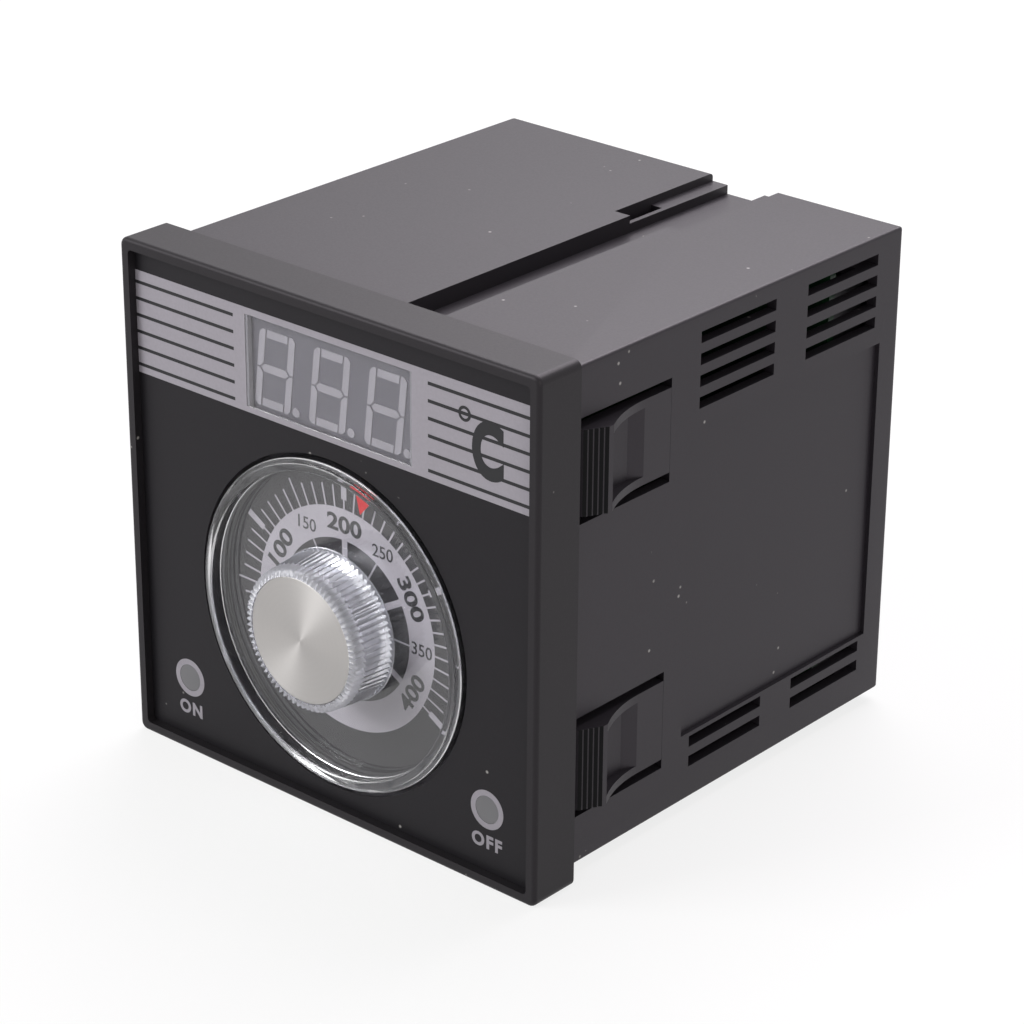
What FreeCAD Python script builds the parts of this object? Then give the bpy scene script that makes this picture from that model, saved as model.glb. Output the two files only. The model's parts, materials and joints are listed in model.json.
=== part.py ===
import FreeCAD, Part
import os
from math import cos, pi, radians, sin, sqrt, tan

V = FreeCAD.Vector

# Panel oven temperature controller, in millimetres.
# X is to the right seen from the front, Y runs from the bezel's front towards the back, Z is up.
# The pieces are made around the middle of the bezel's front and moved to the row frame on export.

# Clearances
SLIP = 0.1
SEAT = 0.05
RUN = 0.08

# Bezel: the square 96 mm instrument front
BEZEL_SIDE = 96.0
BEZEL_DEPTH = 10.1
BEZEL_CORNER_R = 1.5
BEZEL_EDGE_R = 0.8
RIM_WIDTH = 2.0
RIM_HEIGHT = 1.6
RECESS_CORNER_R = 0.8
FILM_T = 0.25
PANEL_T = 2.0
STOP_SIZE = 6.0

# Case tube behind the bezel
BEZEL_LAP = 2.25
CASE_WALL = 2.0
CASE_CORNER_R = 1.8
CASE_REAR_R = 0.8
CASE_LENGTH = 90.3
CASE_INSERT = 3.1

# Bracket channel along the top and bottom of the case
CHANNEL_X = 10.85
CHANNEL_W = 8.5
CHANNEL_DEPTH = 3.2
LEDGE_W = 3.5
LEDGE_DEPTH = 1.5
LEDGE_LENGTH = 28.2
LATCH_W = 2.5
LATCH_L = 10.3

# Vent slots in the case's sides
VENT_LENGTH = 20.4
VENT_H = 2.1
VENT_PITCH = 3.93
VENT_FIRST = 33.4
VENT_STEP = 29.4
VENT_MARGIN = 3.25
VENT_TOP_ROWS = 4
VENT_LOW_MARGIN = 12.35
VENT_LOW_ROWS = 2
VENT_COLUMNS = 2

# Shallow recess in the case's sides
SIDE_RECESS_DEPTH = 0.8
SIDE_RECESS_START = 31.1
SIDE_RECESS_LENGTH = 53.9
SIDE_RECESS_GAP = 3.41
SIDE_RECESS_LOW_GAP = 0.8

# Snap clips in the case's sides
CLIP_RISE = 27.2
CLIP_WIDTH = 15.3
CLIP_SLOT = 1.75
CLIP_ROOT = 25.8
CLIP_REACH = 2.9
CLIP_CREST = 6.7
CLIP_CREST_W = 0.8
CLIP_TOE = 2.5
CLIP_TOE_REACH = 0.7
CLIP_TIP = 2.1
CLIP_TEETH = 5
CLIP_TREAD = 0.4
CLIP_RIB_W = 1.5
CLIP_RIB_START = 18.9
CLIP_POCKET = 1.1
CLIP_POCKET_SLOPE = 3.0
CLIP_SWING = 12.0
CLIP_BAY = 5.3

# Face openings: display and indicator lamps
WINDOW_W = 38.5
WINDOW_H = 16.9
WINDOW_MARGIN = 7.2
MODULE_W = 37.6
MODULE_H = 19.0
MODULE_D = 8.0
MODULE_SET = 1.2
MODULE_LOWER = 0.75
LAMP_INSET = 12.1
LAMP_MARGIN = 13.9
LAMP_R = 2.57
LENS_LIP = 0.9
LENS_LIP_T = 0.8
LED_R = 1.5
LED_FLANGE = 0.4
LED_H = 5.0

# Seven-segment digits
DIGITS = 3
DIGIT_H = 14.2
DIGIT_W = 8.4
DIGIT_PITCH = 12.8
DIGIT_SHIFT = -0.4
DIGIT_STROKE = 1.45
DIGIT_GAP = 0.3
DIGIT_SLANT = 6.5
POINT_R = 0.83
POINT_OFFSET = 4.8
SEGMENT_T = 0.12

# Dial: well, scale plate, clear disc and fluted grip
DIAL_MARGIN = 5.0
WELL_WALL = 2.0
WELL_GAP = 0.5
SCALE_DEPTH = 6.1
SCALE_T = 0.8
SCALE_HOLE_R = 4.2
DISC_GAP = 0.8
DISC_SCALE_GAP = 1.7
DISC_FLOOR_T = 1.8
DISC_RIM_W = 2.3
DISC_RIM_H = 2.2
DISC_ROUND = 0.5
GRIP_BASE_R = 14.0
GRIP_DRAFT = 0.6
GRIP_BEVEL = 1.1
GRIP_H = 8.7
GRIP_WALL = 2.6
GRIP_FRONT_T = 2.0
FLUTES = 72
FLUTE_DEPTH = 0.45
HUB_R = 6.0
CAP_R = 11.6
CAP_T = 0.5
CAP_SINK = 0.1
POINTER_INSET = 1.7
POINTER_L = 4.7
POINTER_W = 5.0
POINTER_ANGLE = 13.5
POINTER_T = 0.1

# Potentiometer behind the dial
SHAFT_R = 3.0
SHAFT_FLAT = 1.5
SHAFT_TAIL = 2.0
BUSHING_R = 3.5
BUSHING_PROUD = 0.7
POT_R = 12.0
POT_DEPTH = 9.5
POT_EDGE = 1.2
LUG_W = 2.0
LUG_T = 0.5
LUG_PITCH = 5.0
LUG_LENGTH = 4.0
NUT_FLATS = 10.0
NUT_T = 2.0
WASHER_R = 6.0
WASHER_T = 0.5

# Boards and their fixings
BOARD_T = 1.6
FRONT_BOARD_SIDE_GAP = 5.25
FRONT_BOARD_END_GAP = 2.25
BOSS_R = 2.6
BOSS_SIDE_INSET = 7.5
BOSS_TOP_INSET = 4.0
BOSS_LOW_INSET = 2.0
SCREW_R = 1.25
SCREW_HEAD_R = 2.6
SCREW_HEAD_T = 1.8
SCREW_L = 7.0
RECESS_W = 0.7
RECESS_L = 2.6
RECESS_D = 0.9
MAIN_GAP = 1.0
MAIN_FRONT_GAP = 1.0
GUIDE_W = 1.5
GUIDE_REACH = 2.0
GUIDE_LEAD = 7.0
HEADER_INSET = 16.5
HEADER_W = 22.0
HEADER_D = 8.0
HEADER_H = 5.0

# Parts on the power board
CORE_W = 35.0
CORE_H = 29.0
CORE_STACK = 15.0
CORE_LEG = 5.8
CORE_WINDOW_W = 5.8
COIL_D = 27.0
TRANSFORMER_Y = 62.0
TRANSFORMER_TO_DIODES = 26.0
RELAY_W = 15.5
RELAY_L = 19.5
RELAY_H = 15.5
RELAY_EDGE_R = 0.8
RELAY_INSET = 16.75
RELAY_Y = 62.0
FILTER_R = 6.3
FILTER_H = 21.0
FILTER_INSET = 16.75
FILTER_Y = 42.0
SMALL_CAP_R = 3.2
SMALL_CAP_H = 11.0
SMALL_CAP_PITCH = 9.0
SMALL_CAP_Y = 31.0
CAP_CRIMP = 0.5
CAP_CRIMP_RISE = 2.0
CAP_EDGE = 0.6
DIODES = 4
DIODE_R = 1.35
DIODE_L = 5.2
DIODE_LEAD_R = 0.4
DIODE_LEAD_L = 3.0
DIODE_PITCH = 5.0
DIODE_TO_RELAY = 15.0
DIODE_Y = 44.0
CHIP_L = 19.3
CHIP_W = 6.4
CHIP_H = 3.4
CHIP_LIFT = 0.5
CHIP_LEGS = 7
CHIP_LEG_W = 0.6
CHIP_LEG_T = 0.3
CHIP_LEG_PITCH = 2.54
CHIP_INSET = 17.75
CHIP_Y = 32.0
CHIP_STEP = 13.0
TRIMMER_SIDE = 6.8
TRIMMER_H = 7.5
TRIMMER_ROTOR_R = 1.8
TRIMMER_SLOT = 0.6
TRIMMER_X = -6.0
TRIMMER_STEP = 9.0
TRIMMER_Y = 31.0

# Back of the case
COVER_T = 2.0
COVER_SINK = 1.0
COVER_LEDGE = 5.0
COVER_LEDGE_L = 8.0
POST_R = 3.0
POST_SIDE_GAP = 6.5
POST_END_GAP = 7.75
TERM_SIDE_GAP = 2.25
TERM_W = 17.0
TERM_PITCH = 12.2
TERM_DEPTH = 13.9
TERM_BASE_D = 5.5
TERM_SINK = 0.5
BARRIER_T = 1.8
TERM_OUTER_T = 0.8
TERM_BOARD_SIDE_GAP = 1.75
TERM_BOARD_END_GAP = 3.75
TAB_GAP = 0.4
TAB_T = 0.8
TAB_PIN_R = 0.8
CLAMP_INSET = 0.3
CLAMP_T = 1.0
CLAMP_LIP = 0.8
TERM_SCREW_R = 1.75
TERM_SCREW_X = 2.5
TERM_HEAD_R = 3.2
TERM_HEAD_T = 2.2
TERM_HEAD_EDGE = 0.6
TERM_SCREW_L = 5.5

# Planes worked out from the sizes above
HALF_BEZEL = BEZEL_SIDE / 2
HALF_CASE = HALF_BEZEL - BEZEL_LAP
INNER = HALF_CASE - CASE_WALL
Y_PANEL = RIM_HEIGHT + FILM_T
Y_PANEL_BACK = Y_PANEL + PANEL_T
Y_CASE = BEZEL_DEPTH - CASE_INSERT
Y_CASE_END = BEZEL_DEPTH + CASE_LENGTH
Y_FACE = RIM_HEIGHT + MODULE_SET
Y_BOARD = Y_FACE + MODULE_D
Y_BOARD_BACK = Y_BOARD + BOARD_T
Y_TROUGH = Y_BOARD_BACK + MAIN_FRONT_GAP / 2
Y_ROOT = BEZEL_DEPTH + CLIP_ROOT
Y_COVER_BACK = Y_CASE_END - COVER_SINK
Y_COVER = Y_COVER_BACK - COVER_T
Y_TERM_END = Y_CASE_END - TERM_SINK
Y_TERM = Y_TERM_END - TERM_DEPTH
Y_TERM_BOARD = Y_TERM - BOARD_T
Y_TAB = Y_TERM + TERM_BASE_D
Y_CLAMP = Y_TAB + TAB_T
Y_HEAD = Y_CLAMP + CLAMP_T
Y_FLOOR_BACK = SCALE_DEPTH - DISC_SCALE_GAP
Y_FLOOR = Y_FLOOR_BACK - DISC_FLOOR_T
Y_GRIP = Y_FLOOR - GRIP_H
Y_CAP = Y_GRIP + CAP_SINK
Y_CAP_SEAT = Y_CAP + CAP_T
Y_HOLLOW = Y_CAP_SEAT + GRIP_FRONT_T
Y_WASHER = Y_BOARD - WASHER_T
Y_NUT = Y_WASHER - NUT_T
WINDOW_RISE = HALF_BEZEL - WINDOW_MARGIN - WINDOW_H / 2
MODULE_RISE = WINDOW_RISE - MODULE_LOWER
Z_WELL_TOP = MODULE_RISE - MODULE_H / 2 - WELL_GAP
DIAL_HOLE_R = (Z_WELL_TOP - WELL_WALL + HALF_BEZEL - DIAL_MARGIN) / 2
DIAL_DROP = HALF_BEZEL - DIAL_MARGIN - DIAL_HOLE_R
DISC_R = DIAL_HOLE_R - DISC_GAP
POINTER_BASE_R = DISC_R - DISC_RIM_W - POINTER_INSET
POINTER_TIP_R = POINTER_BASE_R - POINTER_L
LAMP_X = HALF_BEZEL - LAMP_INSET
LAMP_DROP = HALF_BEZEL - LAMP_MARGIN
HALF_FRONT_BOARD_W = INNER - FRONT_BOARD_SIDE_GAP
HALF_FRONT_BOARD_H = INNER - FRONT_BOARD_END_GAP
BOSS_X = HALF_FRONT_BOARD_W - BOSS_SIDE_INSET
BOSS_RISE = HALF_FRONT_BOARD_H - BOSS_TOP_INSET
BOSS_DROP = HALF_FRONT_BOARD_H - BOSS_LOW_INSET
Z_VENT = HALF_CASE - VENT_MARGIN
Z_VENT_LOW = VENT_LOW_MARGIN - HALF_CASE
Z_MAIN_TOP = -DIAL_DROP - POT_R - LUG_LENGTH - MAIN_GAP
Z_MAIN = Z_MAIN_TOP - BOARD_T / 2
HEADER_X = HEADER_INSET - HALF_FRONT_BOARD_W
RELAY_X = INNER - RELAY_INSET
FILTER_X = INNER - FILTER_INSET
DIODE_X = RELAY_X - DIODE_TO_RELAY
TRANSFORMER_X = DIODE_X - TRANSFORMER_TO_DIODES
CHIP_X = CHIP_INSET - INNER
CHANNEL_X0 = CHANNEL_X - CHANNEL_W / 2
CHANNEL_X1 = CHANNEL_X + CHANNEL_W / 2
TERM_X = INNER - TERM_SIDE_GAP - TERM_W / 2
TERM_COUNT = int((2 * (INNER - COVER_LEDGE - SLIP) - BARRIER_T) / TERM_PITCH)
TERM_LENGTH = TERM_COUNT * TERM_PITCH + BARRIER_T
TAB_SIDE = TERM_PITCH - BARRIER_T - 2 * TAB_GAP
CLAMP_SIDE = TAB_SIDE - 2 * CLAMP_INSET
POST_X = TERM_X - TERM_W / 2 - POST_SIDE_GAP
POST_RISE = INNER - POST_END_GAP
PAST = 1.0


def outline(corners, place):
    """Closed wire through (a, b) corners; a third value rounds that corner with an arc."""
    count = len(corners)
    stops = []
    for i, corner in enumerate(corners):
        here = V(corner[0], corner[1], 0)
        radius = corner[2] if len(corner) > 2 else 0
        if not radius:
            stops.append((here, None, here))
            continue
        back = V(corners[i - 1][0], corners[i - 1][1], 0) - here
        ahead = V(corners[(i + 1) % count][0], corners[(i + 1) % count][1], 0) - here
        half = back.getAngle(ahead) / 2
        back.normalize()
        ahead.normalize()
        middle = back + ahead
        middle.normalize()
        reach = radius / tan(half)
        bulge = here + middle * (radius / sin(half) - radius)
        stops.append((here + back * reach, bulge, here + ahead * reach))
    edges = []
    for i, (start, middle, end) in enumerate(stops):
        if middle is not None:
            edges.append(Part.Arc(place(start), place(middle), place(end)).toShape())
        after = stops[(i + 1) % count][0]
        if (after - end).Length > 1e-6:
            edges.append(Part.LineSegment(place(end), place(after)).toShape())
    return Part.Wire(edges)


def prism(corners, axis, start, length):
    """Solid of an outline extruded along X, Y or Z."""
    places = {
        "X": lambda p: V(start, p.x, p.y),
        "Y": lambda p: V(p.x, start, p.y),
        "Z": lambda p: V(p.x, p.y, start),
    }
    along = {"X": V(length, 0, 0), "Y": V(0, length, 0), "Z": V(0, 0, length)}[axis]
    return Part.Face(outline(corners, places[axis])).extrude(along)


def turned(corners, x=0.0, z=0.0):
    """Solid of a (radius, y) outline turned about an axis along Y."""
    face = Part.Face(outline(corners, lambda p: V(p.x, p.y, 0)))
    solid = face.revolve(V(0, 0, 0), V(0, 1, 0), 360)
    solid.translate(V(x, 0, z))
    return solid


def block(x0, x1, y0, y1, z0, z1):
    return Part.makeBox(x1 - x0, y1 - y0, z1 - z0, V(x0, y0, z0))


def rod(radius, y0, y1, x=0.0, z=0.0):
    return Part.makeCylinder(radius, y1 - y0, V(x, y0, z), V(0, 1, 0))


def post(radius, z0, z1, x, y):
    return Part.makeCylinder(radius, z1 - z0, V(x, y, z0), V(0, 0, 1))


def rectangle(a, b, radius):
    return [(-a, -b, radius), (a, -b, radius), (a, b, radius), (-a, b, radius)]


def square(half, radius):
    return rectangle(half, half, radius)


def joined(solid, others):
    return solid.fuse(others).removeSplitter()


def edges_at_y(solid, y):
    return [e for e in solid.Edges if abs(e.BoundBox.YMin - y) < 1e-6 and abs(e.BoundBox.YMax - y) < 1e-6]


def mirrored_x(solid):
    return solid.mirror(V(0, 0, 0), V(1, 0, 0))


def mirrored_z(solid):
    return solid.mirror(V(0, 0, 0), V(0, 0, 1))


def four_points(x, rise, drop):
    return [(-x, rise), (x, rise), (-x, -drop), (x, -drop)]


# Bezel and face

def display_opening(width, height, rise, y0, y1):
    return block(-width / 2, width / 2, y0, y1, rise - height / 2, rise + height / 2)


def lamp_holes(radius, y0, y1):
    return [rod(radius, y0, y1, side * LAMP_X, -LAMP_DROP) for side in (-1, 1)]


def bezel():
    body = prism(square(HALF_BEZEL, BEZEL_CORNER_R), "Y", 0, BEZEL_DEPTH)
    body = body.makeFillet(BEZEL_EDGE_R, edges_at_y(body, 0))
    recess = prism(square(HALF_BEZEL - RIM_WIDTH, RECESS_CORNER_R), "Y", -PAST, PAST + Y_PANEL)
    pocket = HALF_CASE + SLIP
    cavity = prism(square(pocket, CASE_CORNER_R), "Y", Y_PANEL_BACK, BEZEL_DEPTH - Y_PANEL_BACK + PAST)
    well = rod(DIAL_HOLE_R, 0, BEZEL_DEPTH, 0, -DIAL_DROP)
    window = display_opening(MODULE_W + 2 * SLIP, MODULE_H + 2 * SLIP, MODULE_RISE, 0, BEZEL_DEPTH)
    body = body.cut([recess, cavity])
    collar = rod(DIAL_HOLE_R + WELL_WALL, Y_PANEL_BACK - SEAT, SCALE_DEPTH, 0, -DIAL_DROP)
    stops = []
    for x0 in (-pocket, pocket - STOP_SIZE):
        for z0 in (-pocket, pocket - STOP_SIZE):
            stop = block(x0, x0 + STOP_SIZE, Y_PANEL_BACK - SEAT, Y_CASE, z0, z0 + STOP_SIZE)
            stops.append(stop.common(prism(square(pocket, CASE_CORNER_R), "Y", 0, BEZEL_DEPTH)))
    places = four_points(BOSS_X, BOSS_RISE, BOSS_DROP)
    bosses = [rod(BOSS_R, Y_PANEL_BACK - SEAT, Y_BOARD, x, z) for x, z in places]
    body = joined(body, [collar] + stops + bosses)
    pilots = [rod(SCREW_R + SEAT, Y_BOARD - SCREW_L, Y_BOARD + PAST, x, z) for x, z in places]
    return body.cut([well, window] + lamp_holes(LAMP_R, 0, BEZEL_DEPTH) + pilots)


def face_overlay():
    film = prism(square(HALF_BEZEL - RIM_WIDTH - SEAT, RECESS_CORNER_R), "Y", RIM_HEIGHT, FILM_T)
    window = display_opening(WINDOW_W, WINDOW_H, WINDOW_RISE, 0, Y_PANEL + PAST)
    well = rod(DIAL_HOLE_R, 0, Y_PANEL + PAST, 0, -DIAL_DROP)
    return film.cut([window, well] + lamp_holes(LAMP_R, 0, Y_PANEL + PAST))


def display_window():
    return display_opening(WINDOW_W - 2 * SEAT, WINDOW_H - 2 * SEAT, WINDOW_RISE, RIM_HEIGHT, Y_PANEL)


def lamp_lens(side):
    lens_r = LAMP_R - SEAT
    lip_r = LAMP_R + LENS_LIP
    profile = [
        (0, RIM_HEIGHT), (lens_r, RIM_HEIGHT), (lens_r, Y_PANEL_BACK), (lip_r, Y_PANEL_BACK),
        (lip_r, Y_PANEL_BACK + LENS_LIP_T), (0, Y_PANEL_BACK + LENS_LIP_T),
    ]
    return turned(profile, side * LAMP_X, -LAMP_DROP)


def indicator_leds():
    profile = [
        (0, Y_BOARD - LED_H), (LED_R, Y_BOARD - LED_H, LED_R - SEAT), (LED_R, Y_BOARD - 2 * LED_FLANGE),
        (LED_R + LED_FLANGE, Y_BOARD - 2 * LED_FLANGE), (LED_R + LED_FLANGE, Y_BOARD), (0, Y_BOARD),
    ]
    return Part.makeCompound([turned(profile, side * LAMP_X, -LAMP_DROP) for side in (-1, 1)])


# Display

def display_module():
    return display_opening(MODULE_W, MODULE_H, MODULE_RISE, Y_FACE, Y_BOARD)


def segment_outlines():
    """The seven segments of an upright digit about its middle, as (x, z) corners."""
    w = DIGIT_W / 2
    h = DIGIT_H / 2
    s = DIGIT_STROKE
    g = DIGIT_GAP
    bar = [(-w + s + g, h - s), (w - s - g, h - s), (w - s - g, h), (-w + s + g, h)]
    side = [(w - s, s / 2 + g), (w - s / 2, g / 2), (w, g / 2), (w, h - s / 2), (w - s / 2, h), (w - s, h)]
    middle = [
        (-w + s / 2 + g, 0), (-w + s + g, -s / 2), (w - s - g, -s / 2),
        (w - s / 2 - g, 0), (w - s - g, s / 2), (-w + s + g, s / 2),
    ]
    flips = [(1, 1), (-1, 1), (1, -1), (-1, -1)]
    sides = [[(fx * x, fz * z) for x, z in side] for fx, fz in flips]
    return [bar, [(x, -z) for x, z in bar], middle] + sides


def display_segments():
    lean = tan(radians(DIGIT_SLANT))
    front = Y_FACE - SEGMENT_T
    solids = []
    for digit in range(DIGITS):
        x0 = DIGIT_SHIFT + (digit - (DIGITS - 1) / 2) * DIGIT_PITCH
        for corners in segment_outlines():
            leaning = [(x0 + x + z * lean, MODULE_RISE + z) for x, z in corners]
            solids.append(prism(leaning, "Y", front, SEGMENT_T))
        solids.append(rod(POINT_R, front, Y_FACE, x0 + POINT_OFFSET, MODULE_RISE - DIGIT_H / 2 + POINT_R))
    return Part.makeCompound(solids)


# Dial

def scale_plate():
    plate = rod(DIAL_HOLE_R + WELL_WALL, SCALE_DEPTH, SCALE_DEPTH + SCALE_T, 0, -DIAL_DROP)
    return plate.cut(rod(SCALE_HOLE_R, 0, BEZEL_DEPTH, 0, -DIAL_DROP))


def dial_disc():
    hole_r = HUB_R + SEAT
    inner_r = DISC_R - DISC_RIM_W
    y_rim = Y_FLOOR - DISC_RIM_H
    profile = [
        (hole_r, Y_FLOOR), (inner_r, Y_FLOOR, DISC_ROUND), (inner_r, y_rim, DISC_ROUND / 2),
        (DISC_R, y_rim, DISC_ROUND), (DISC_R, Y_FLOOR_BACK, DISC_ROUND), (hole_r, Y_FLOOR_BACK),
    ]
    return turned(profile, 0, -DIAL_DROP)


def fluted_ring(radius, y):
    """Closed star wire with one ridge and one groove per flute."""
    points = []
    for i in range(2 * FLUTES):
        r = radius if i % 2 == 0 else radius - FLUTE_DEPTH
        angle = pi * i / FLUTES
        points.append(V(r * sin(angle), y, -DIAL_DROP + r * cos(angle)))
    return Part.makePolygon(points + points[:1])


def shaft_section(clear, y0, y1):
    """Round shaft with one flat, grown by a clearance."""
    radius = SHAFT_R + clear
    flat = SHAFT_FLAT + clear
    stock = rod(radius, y0, y1, 0, -DIAL_DROP)
    return stock.cut(block(-radius, radius, y0, y1, flat - DIAL_DROP, radius - DIAL_DROP + PAST))


def knob_grip():
    shoulder_r = GRIP_BASE_R - GRIP_DRAFT
    rings = [
        fluted_ring(GRIP_BASE_R, Y_FLOOR),
        fluted_ring(shoulder_r, Y_GRIP + GRIP_BEVEL),
        fluted_ring(shoulder_r - GRIP_BEVEL, Y_GRIP),
    ]
    grip = Part.makeLoft(rings, True, True)
    hub = rod(HUB_R, Y_HOLLOW, Y_FLOOR_BACK, 0, -DIAL_DROP)
    hollow = rod(GRIP_BASE_R - GRIP_WALL, Y_HOLLOW, Y_FLOOR + PAST, 0, -DIAL_DROP)
    cap_seat = rod(CAP_R + SEAT, Y_GRIP - PAST, Y_CAP_SEAT, 0, -DIAL_DROP)
    bore = shaft_section(SEAT, Y_HOLLOW, Y_FLOOR_BACK + PAST)
    return joined(grip.cut([hollow, cap_seat]), [hub]).cut(bore)


def knob_cap():
    profile = [(0, Y_CAP), (CAP_R, Y_CAP, CAP_T / 2), (CAP_R, Y_CAP_SEAT), (0, Y_CAP_SEAT)]
    return turned(profile, 0, -DIAL_DROP)


def dial_pointer():
    corners = [
        (-POINTER_W / 2, POINTER_BASE_R), (POINTER_W / 2, POINTER_BASE_R), (0, POINTER_TIP_R),
    ]
    mark = prism(corners, "Y", Y_FLOOR_BACK, POINTER_T)
    mark.rotate(V(0, 0, 0), V(0, 1, 0), POINTER_ANGLE)
    mark.translate(V(0, 0, -DIAL_DROP))
    return mark


# Potentiometer

def pot_shaft():
    y_flat = Y_FLOOR_BACK + SLIP
    tail = rod(SHAFT_R, y_flat, Y_BOARD_BACK + SHAFT_TAIL, 0, -DIAL_DROP)
    return joined(shaft_section(0, Y_HOLLOW + SLIP, y_flat), [tail])


def pot_body():
    y_back = Y_BOARD_BACK + POT_DEPTH
    y_bush = Y_NUT - BUSHING_PROUD
    bore_r = SHAFT_R + RUN
    bore_end = Y_BOARD_BACK + SHAFT_TAIL + SLIP
    profile = [
        (bore_r, y_bush), (BUSHING_R, y_bush), (BUSHING_R, Y_BOARD_BACK), (POT_R, Y_BOARD_BACK),
        (POT_R, y_back - POT_EDGE), (POT_R - POT_EDGE, y_back), (0, y_back),
        (0, bore_end), (bore_r, bore_end),
    ]
    body = turned(profile, 0, -DIAL_DROP)
    lugs = []
    for i in (-1, 0, 1):
        x = i * LUG_PITCH
        low = -DIAL_DROP - POT_R - LUG_LENGTH
        y_lug = Y_BOARD_BACK + SHAFT_TAIL
        lugs.append(block(x - LUG_W / 2, x + LUG_W / 2, y_lug, y_lug + LUG_T, low, low + 2 * LUG_LENGTH))
    return joined(body, lugs)


def pot_washer():
    washer = rod(WASHER_R, Y_WASHER, Y_BOARD, 0, -DIAL_DROP)
    return washer.cut(rod(BUSHING_R + SEAT, Y_WASHER, Y_BOARD, 0, -DIAL_DROP))


def pot_nut():
    corner_r = NUT_FLATS / sqrt(3)
    corners = [(corner_r * cos(pi * i / 3), corner_r * sin(pi * i / 3) - DIAL_DROP) for i in range(6)]
    nut = prism(corners, "Y", Y_NUT, NUT_T)
    return nut.cut(rod(BUSHING_R + SEAT, Y_NUT, Y_WASHER, 0, -DIAL_DROP))


# Boards

def cross_recess(x, y, z):
    """Cross-shaped driver recess, cut towards -Y from the plane y."""
    half = RECESS_L / 2
    return [
        block(x - half, x + half, y - RECESS_D, y + PAST, z - RECESS_W / 2, z + RECESS_W / 2),
        block(x - RECESS_W / 2, x + RECESS_W / 2, y - RECESS_D, y + PAST, z - half, z + half),
    ]


def board_screw(x, z, y_seat, way):
    """Pan screw whose head sits on the plane y_seat and whose shank points along way times Y."""
    head_end = y_seat - way * SCREW_HEAD_T
    shank_end = y_seat + way * (BOARD_T + SCREW_L - PAST)
    head = rod(SCREW_HEAD_R, min(y_seat, head_end), max(y_seat, head_end), x, z)
    shank = rod(SCREW_R, min(y_seat, shank_end), max(y_seat, shank_end), x, z)
    return joined(head, [shank])


def front_board():
    half_w = HALF_FRONT_BOARD_W
    half_h = HALF_FRONT_BOARD_H
    board = block(-half_w, half_w, Y_BOARD, Y_BOARD_BACK, -half_h, half_h)
    holes = [rod(SCREW_R + SEAT, 0, Y_ROOT, x, z) for x, z in four_points(BOSS_X, BOSS_RISE, BOSS_DROP)]
    return board.cut(holes + [rod(BUSHING_R + SEAT, 0, Y_ROOT, 0, -DIAL_DROP)])


def front_board_screws():
    places = four_points(BOSS_X, BOSS_RISE, BOSS_DROP)
    return Part.makeCompound([board_screw(x, z, Y_BOARD_BACK, -1) for x, z in places])


def main_board():
    z0 = Z_MAIN - BOARD_T / 2
    wide = INNER - 2 * SLIP
    narrow = INNER - CLIP_BAY
    y_front = Y_BOARD_BACK + MAIN_FRONT_GAP
    y_wide = Y_ROOT + GUIDE_LEAD - SLIP
    y_back = Y_TERM_BOARD - SCREW_HEAD_T - SLIP
    corners = [
        (-narrow, y_front), (narrow, y_front), (narrow, y_wide), (wide, y_wide),
        (wide, y_back), (-wide, y_back), (-wide, y_wide), (-narrow, y_wide),
    ]
    return prism(corners, "Z", z0, BOARD_T)


def board_header():
    x0 = HEADER_X - HEADER_W / 2
    y_end = Y_BOARD_BACK + HEADER_D
    y_step = Y_BOARD_BACK + HEADER_D / 2
    z_step = Z_MAIN_TOP + HEADER_H / 2
    z_top = Z_MAIN_TOP + HEADER_H
    corners = [
        (Y_BOARD_BACK, Z_MAIN_TOP), (y_end, Z_MAIN_TOP), (y_end, z_step),
        (y_step, z_step), (y_step, z_top), (Y_BOARD_BACK, z_top),
    ]
    return prism(corners, "X", x0, HEADER_W)


# Parts on the power board

def transformer_core():
    x0 = TRANSFORMER_X - CORE_W / 2
    y0 = TRANSFORMER_Y - CORE_STACK / 2
    core = block(x0, x0 + CORE_W, y0, y0 + CORE_STACK, Z_MAIN_TOP, Z_MAIN_TOP + CORE_H)
    windows = []
    for wx in (x0 + CORE_LEG, x0 + CORE_W - CORE_LEG - CORE_WINDOW_W):
        z0 = Z_MAIN_TOP + CORE_LEG
        windows.append(block(wx, wx + CORE_WINDOW_W, y0, y0 + CORE_STACK, z0, z0 + CORE_H - 2 * CORE_LEG))
    return core.cut(windows)


def transformer_coil():
    half = CORE_W / 2 - CORE_LEG - SLIP
    leg = CORE_W / 2 - CORE_LEG - CORE_WINDOW_W + SLIP
    z0 = Z_MAIN_TOP + CORE_LEG + SLIP
    z1 = Z_MAIN_TOP + CORE_H - CORE_LEG - SLIP
    deep = COIL_D / 2
    round_r = CORE_WINDOW_W / 2
    coil = prism(rectangle(half, deep, round_r), "Z", z0, z1 - z0)
    y_leg = CORE_STACK / 2 + SLIP
    coil = coil.cut(block(-leg, leg, -y_leg, y_leg, z0 - PAST, z1 + PAST))
    coil.translate(V(TRANSFORMER_X, TRANSFORMER_Y, 0))
    return coil


def relay():
    body = prism(rectangle(RELAY_W / 2, RELAY_L / 2, RELAY_EDGE_R), "Z", Z_MAIN_TOP, RELAY_H)
    body.translate(V(RELAY_X, RELAY_Y, 0))
    return body


def can_capacitor(radius, height, x, y):
    """Upright round capacitor with a crimped groove near its foot."""
    foot = Z_MAIN_TOP
    top = foot + height
    crimp = foot + CAP_CRIMP_RISE
    corners = [
        (0, foot), (radius, foot), (radius, crimp), (radius - CAP_CRIMP, crimp + CAP_CRIMP),
        (radius, crimp + 2 * CAP_CRIMP), (radius, top - CAP_EDGE), (radius - CAP_EDGE, top), (0, top),
    ]
    can = Part.Face(outline(corners, lambda p: V(p.x, 0, p.y))).revolve(V(0, 0, 0), V(0, 0, 1), 360)
    can.translate(V(x, y, 0))
    return can


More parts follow.
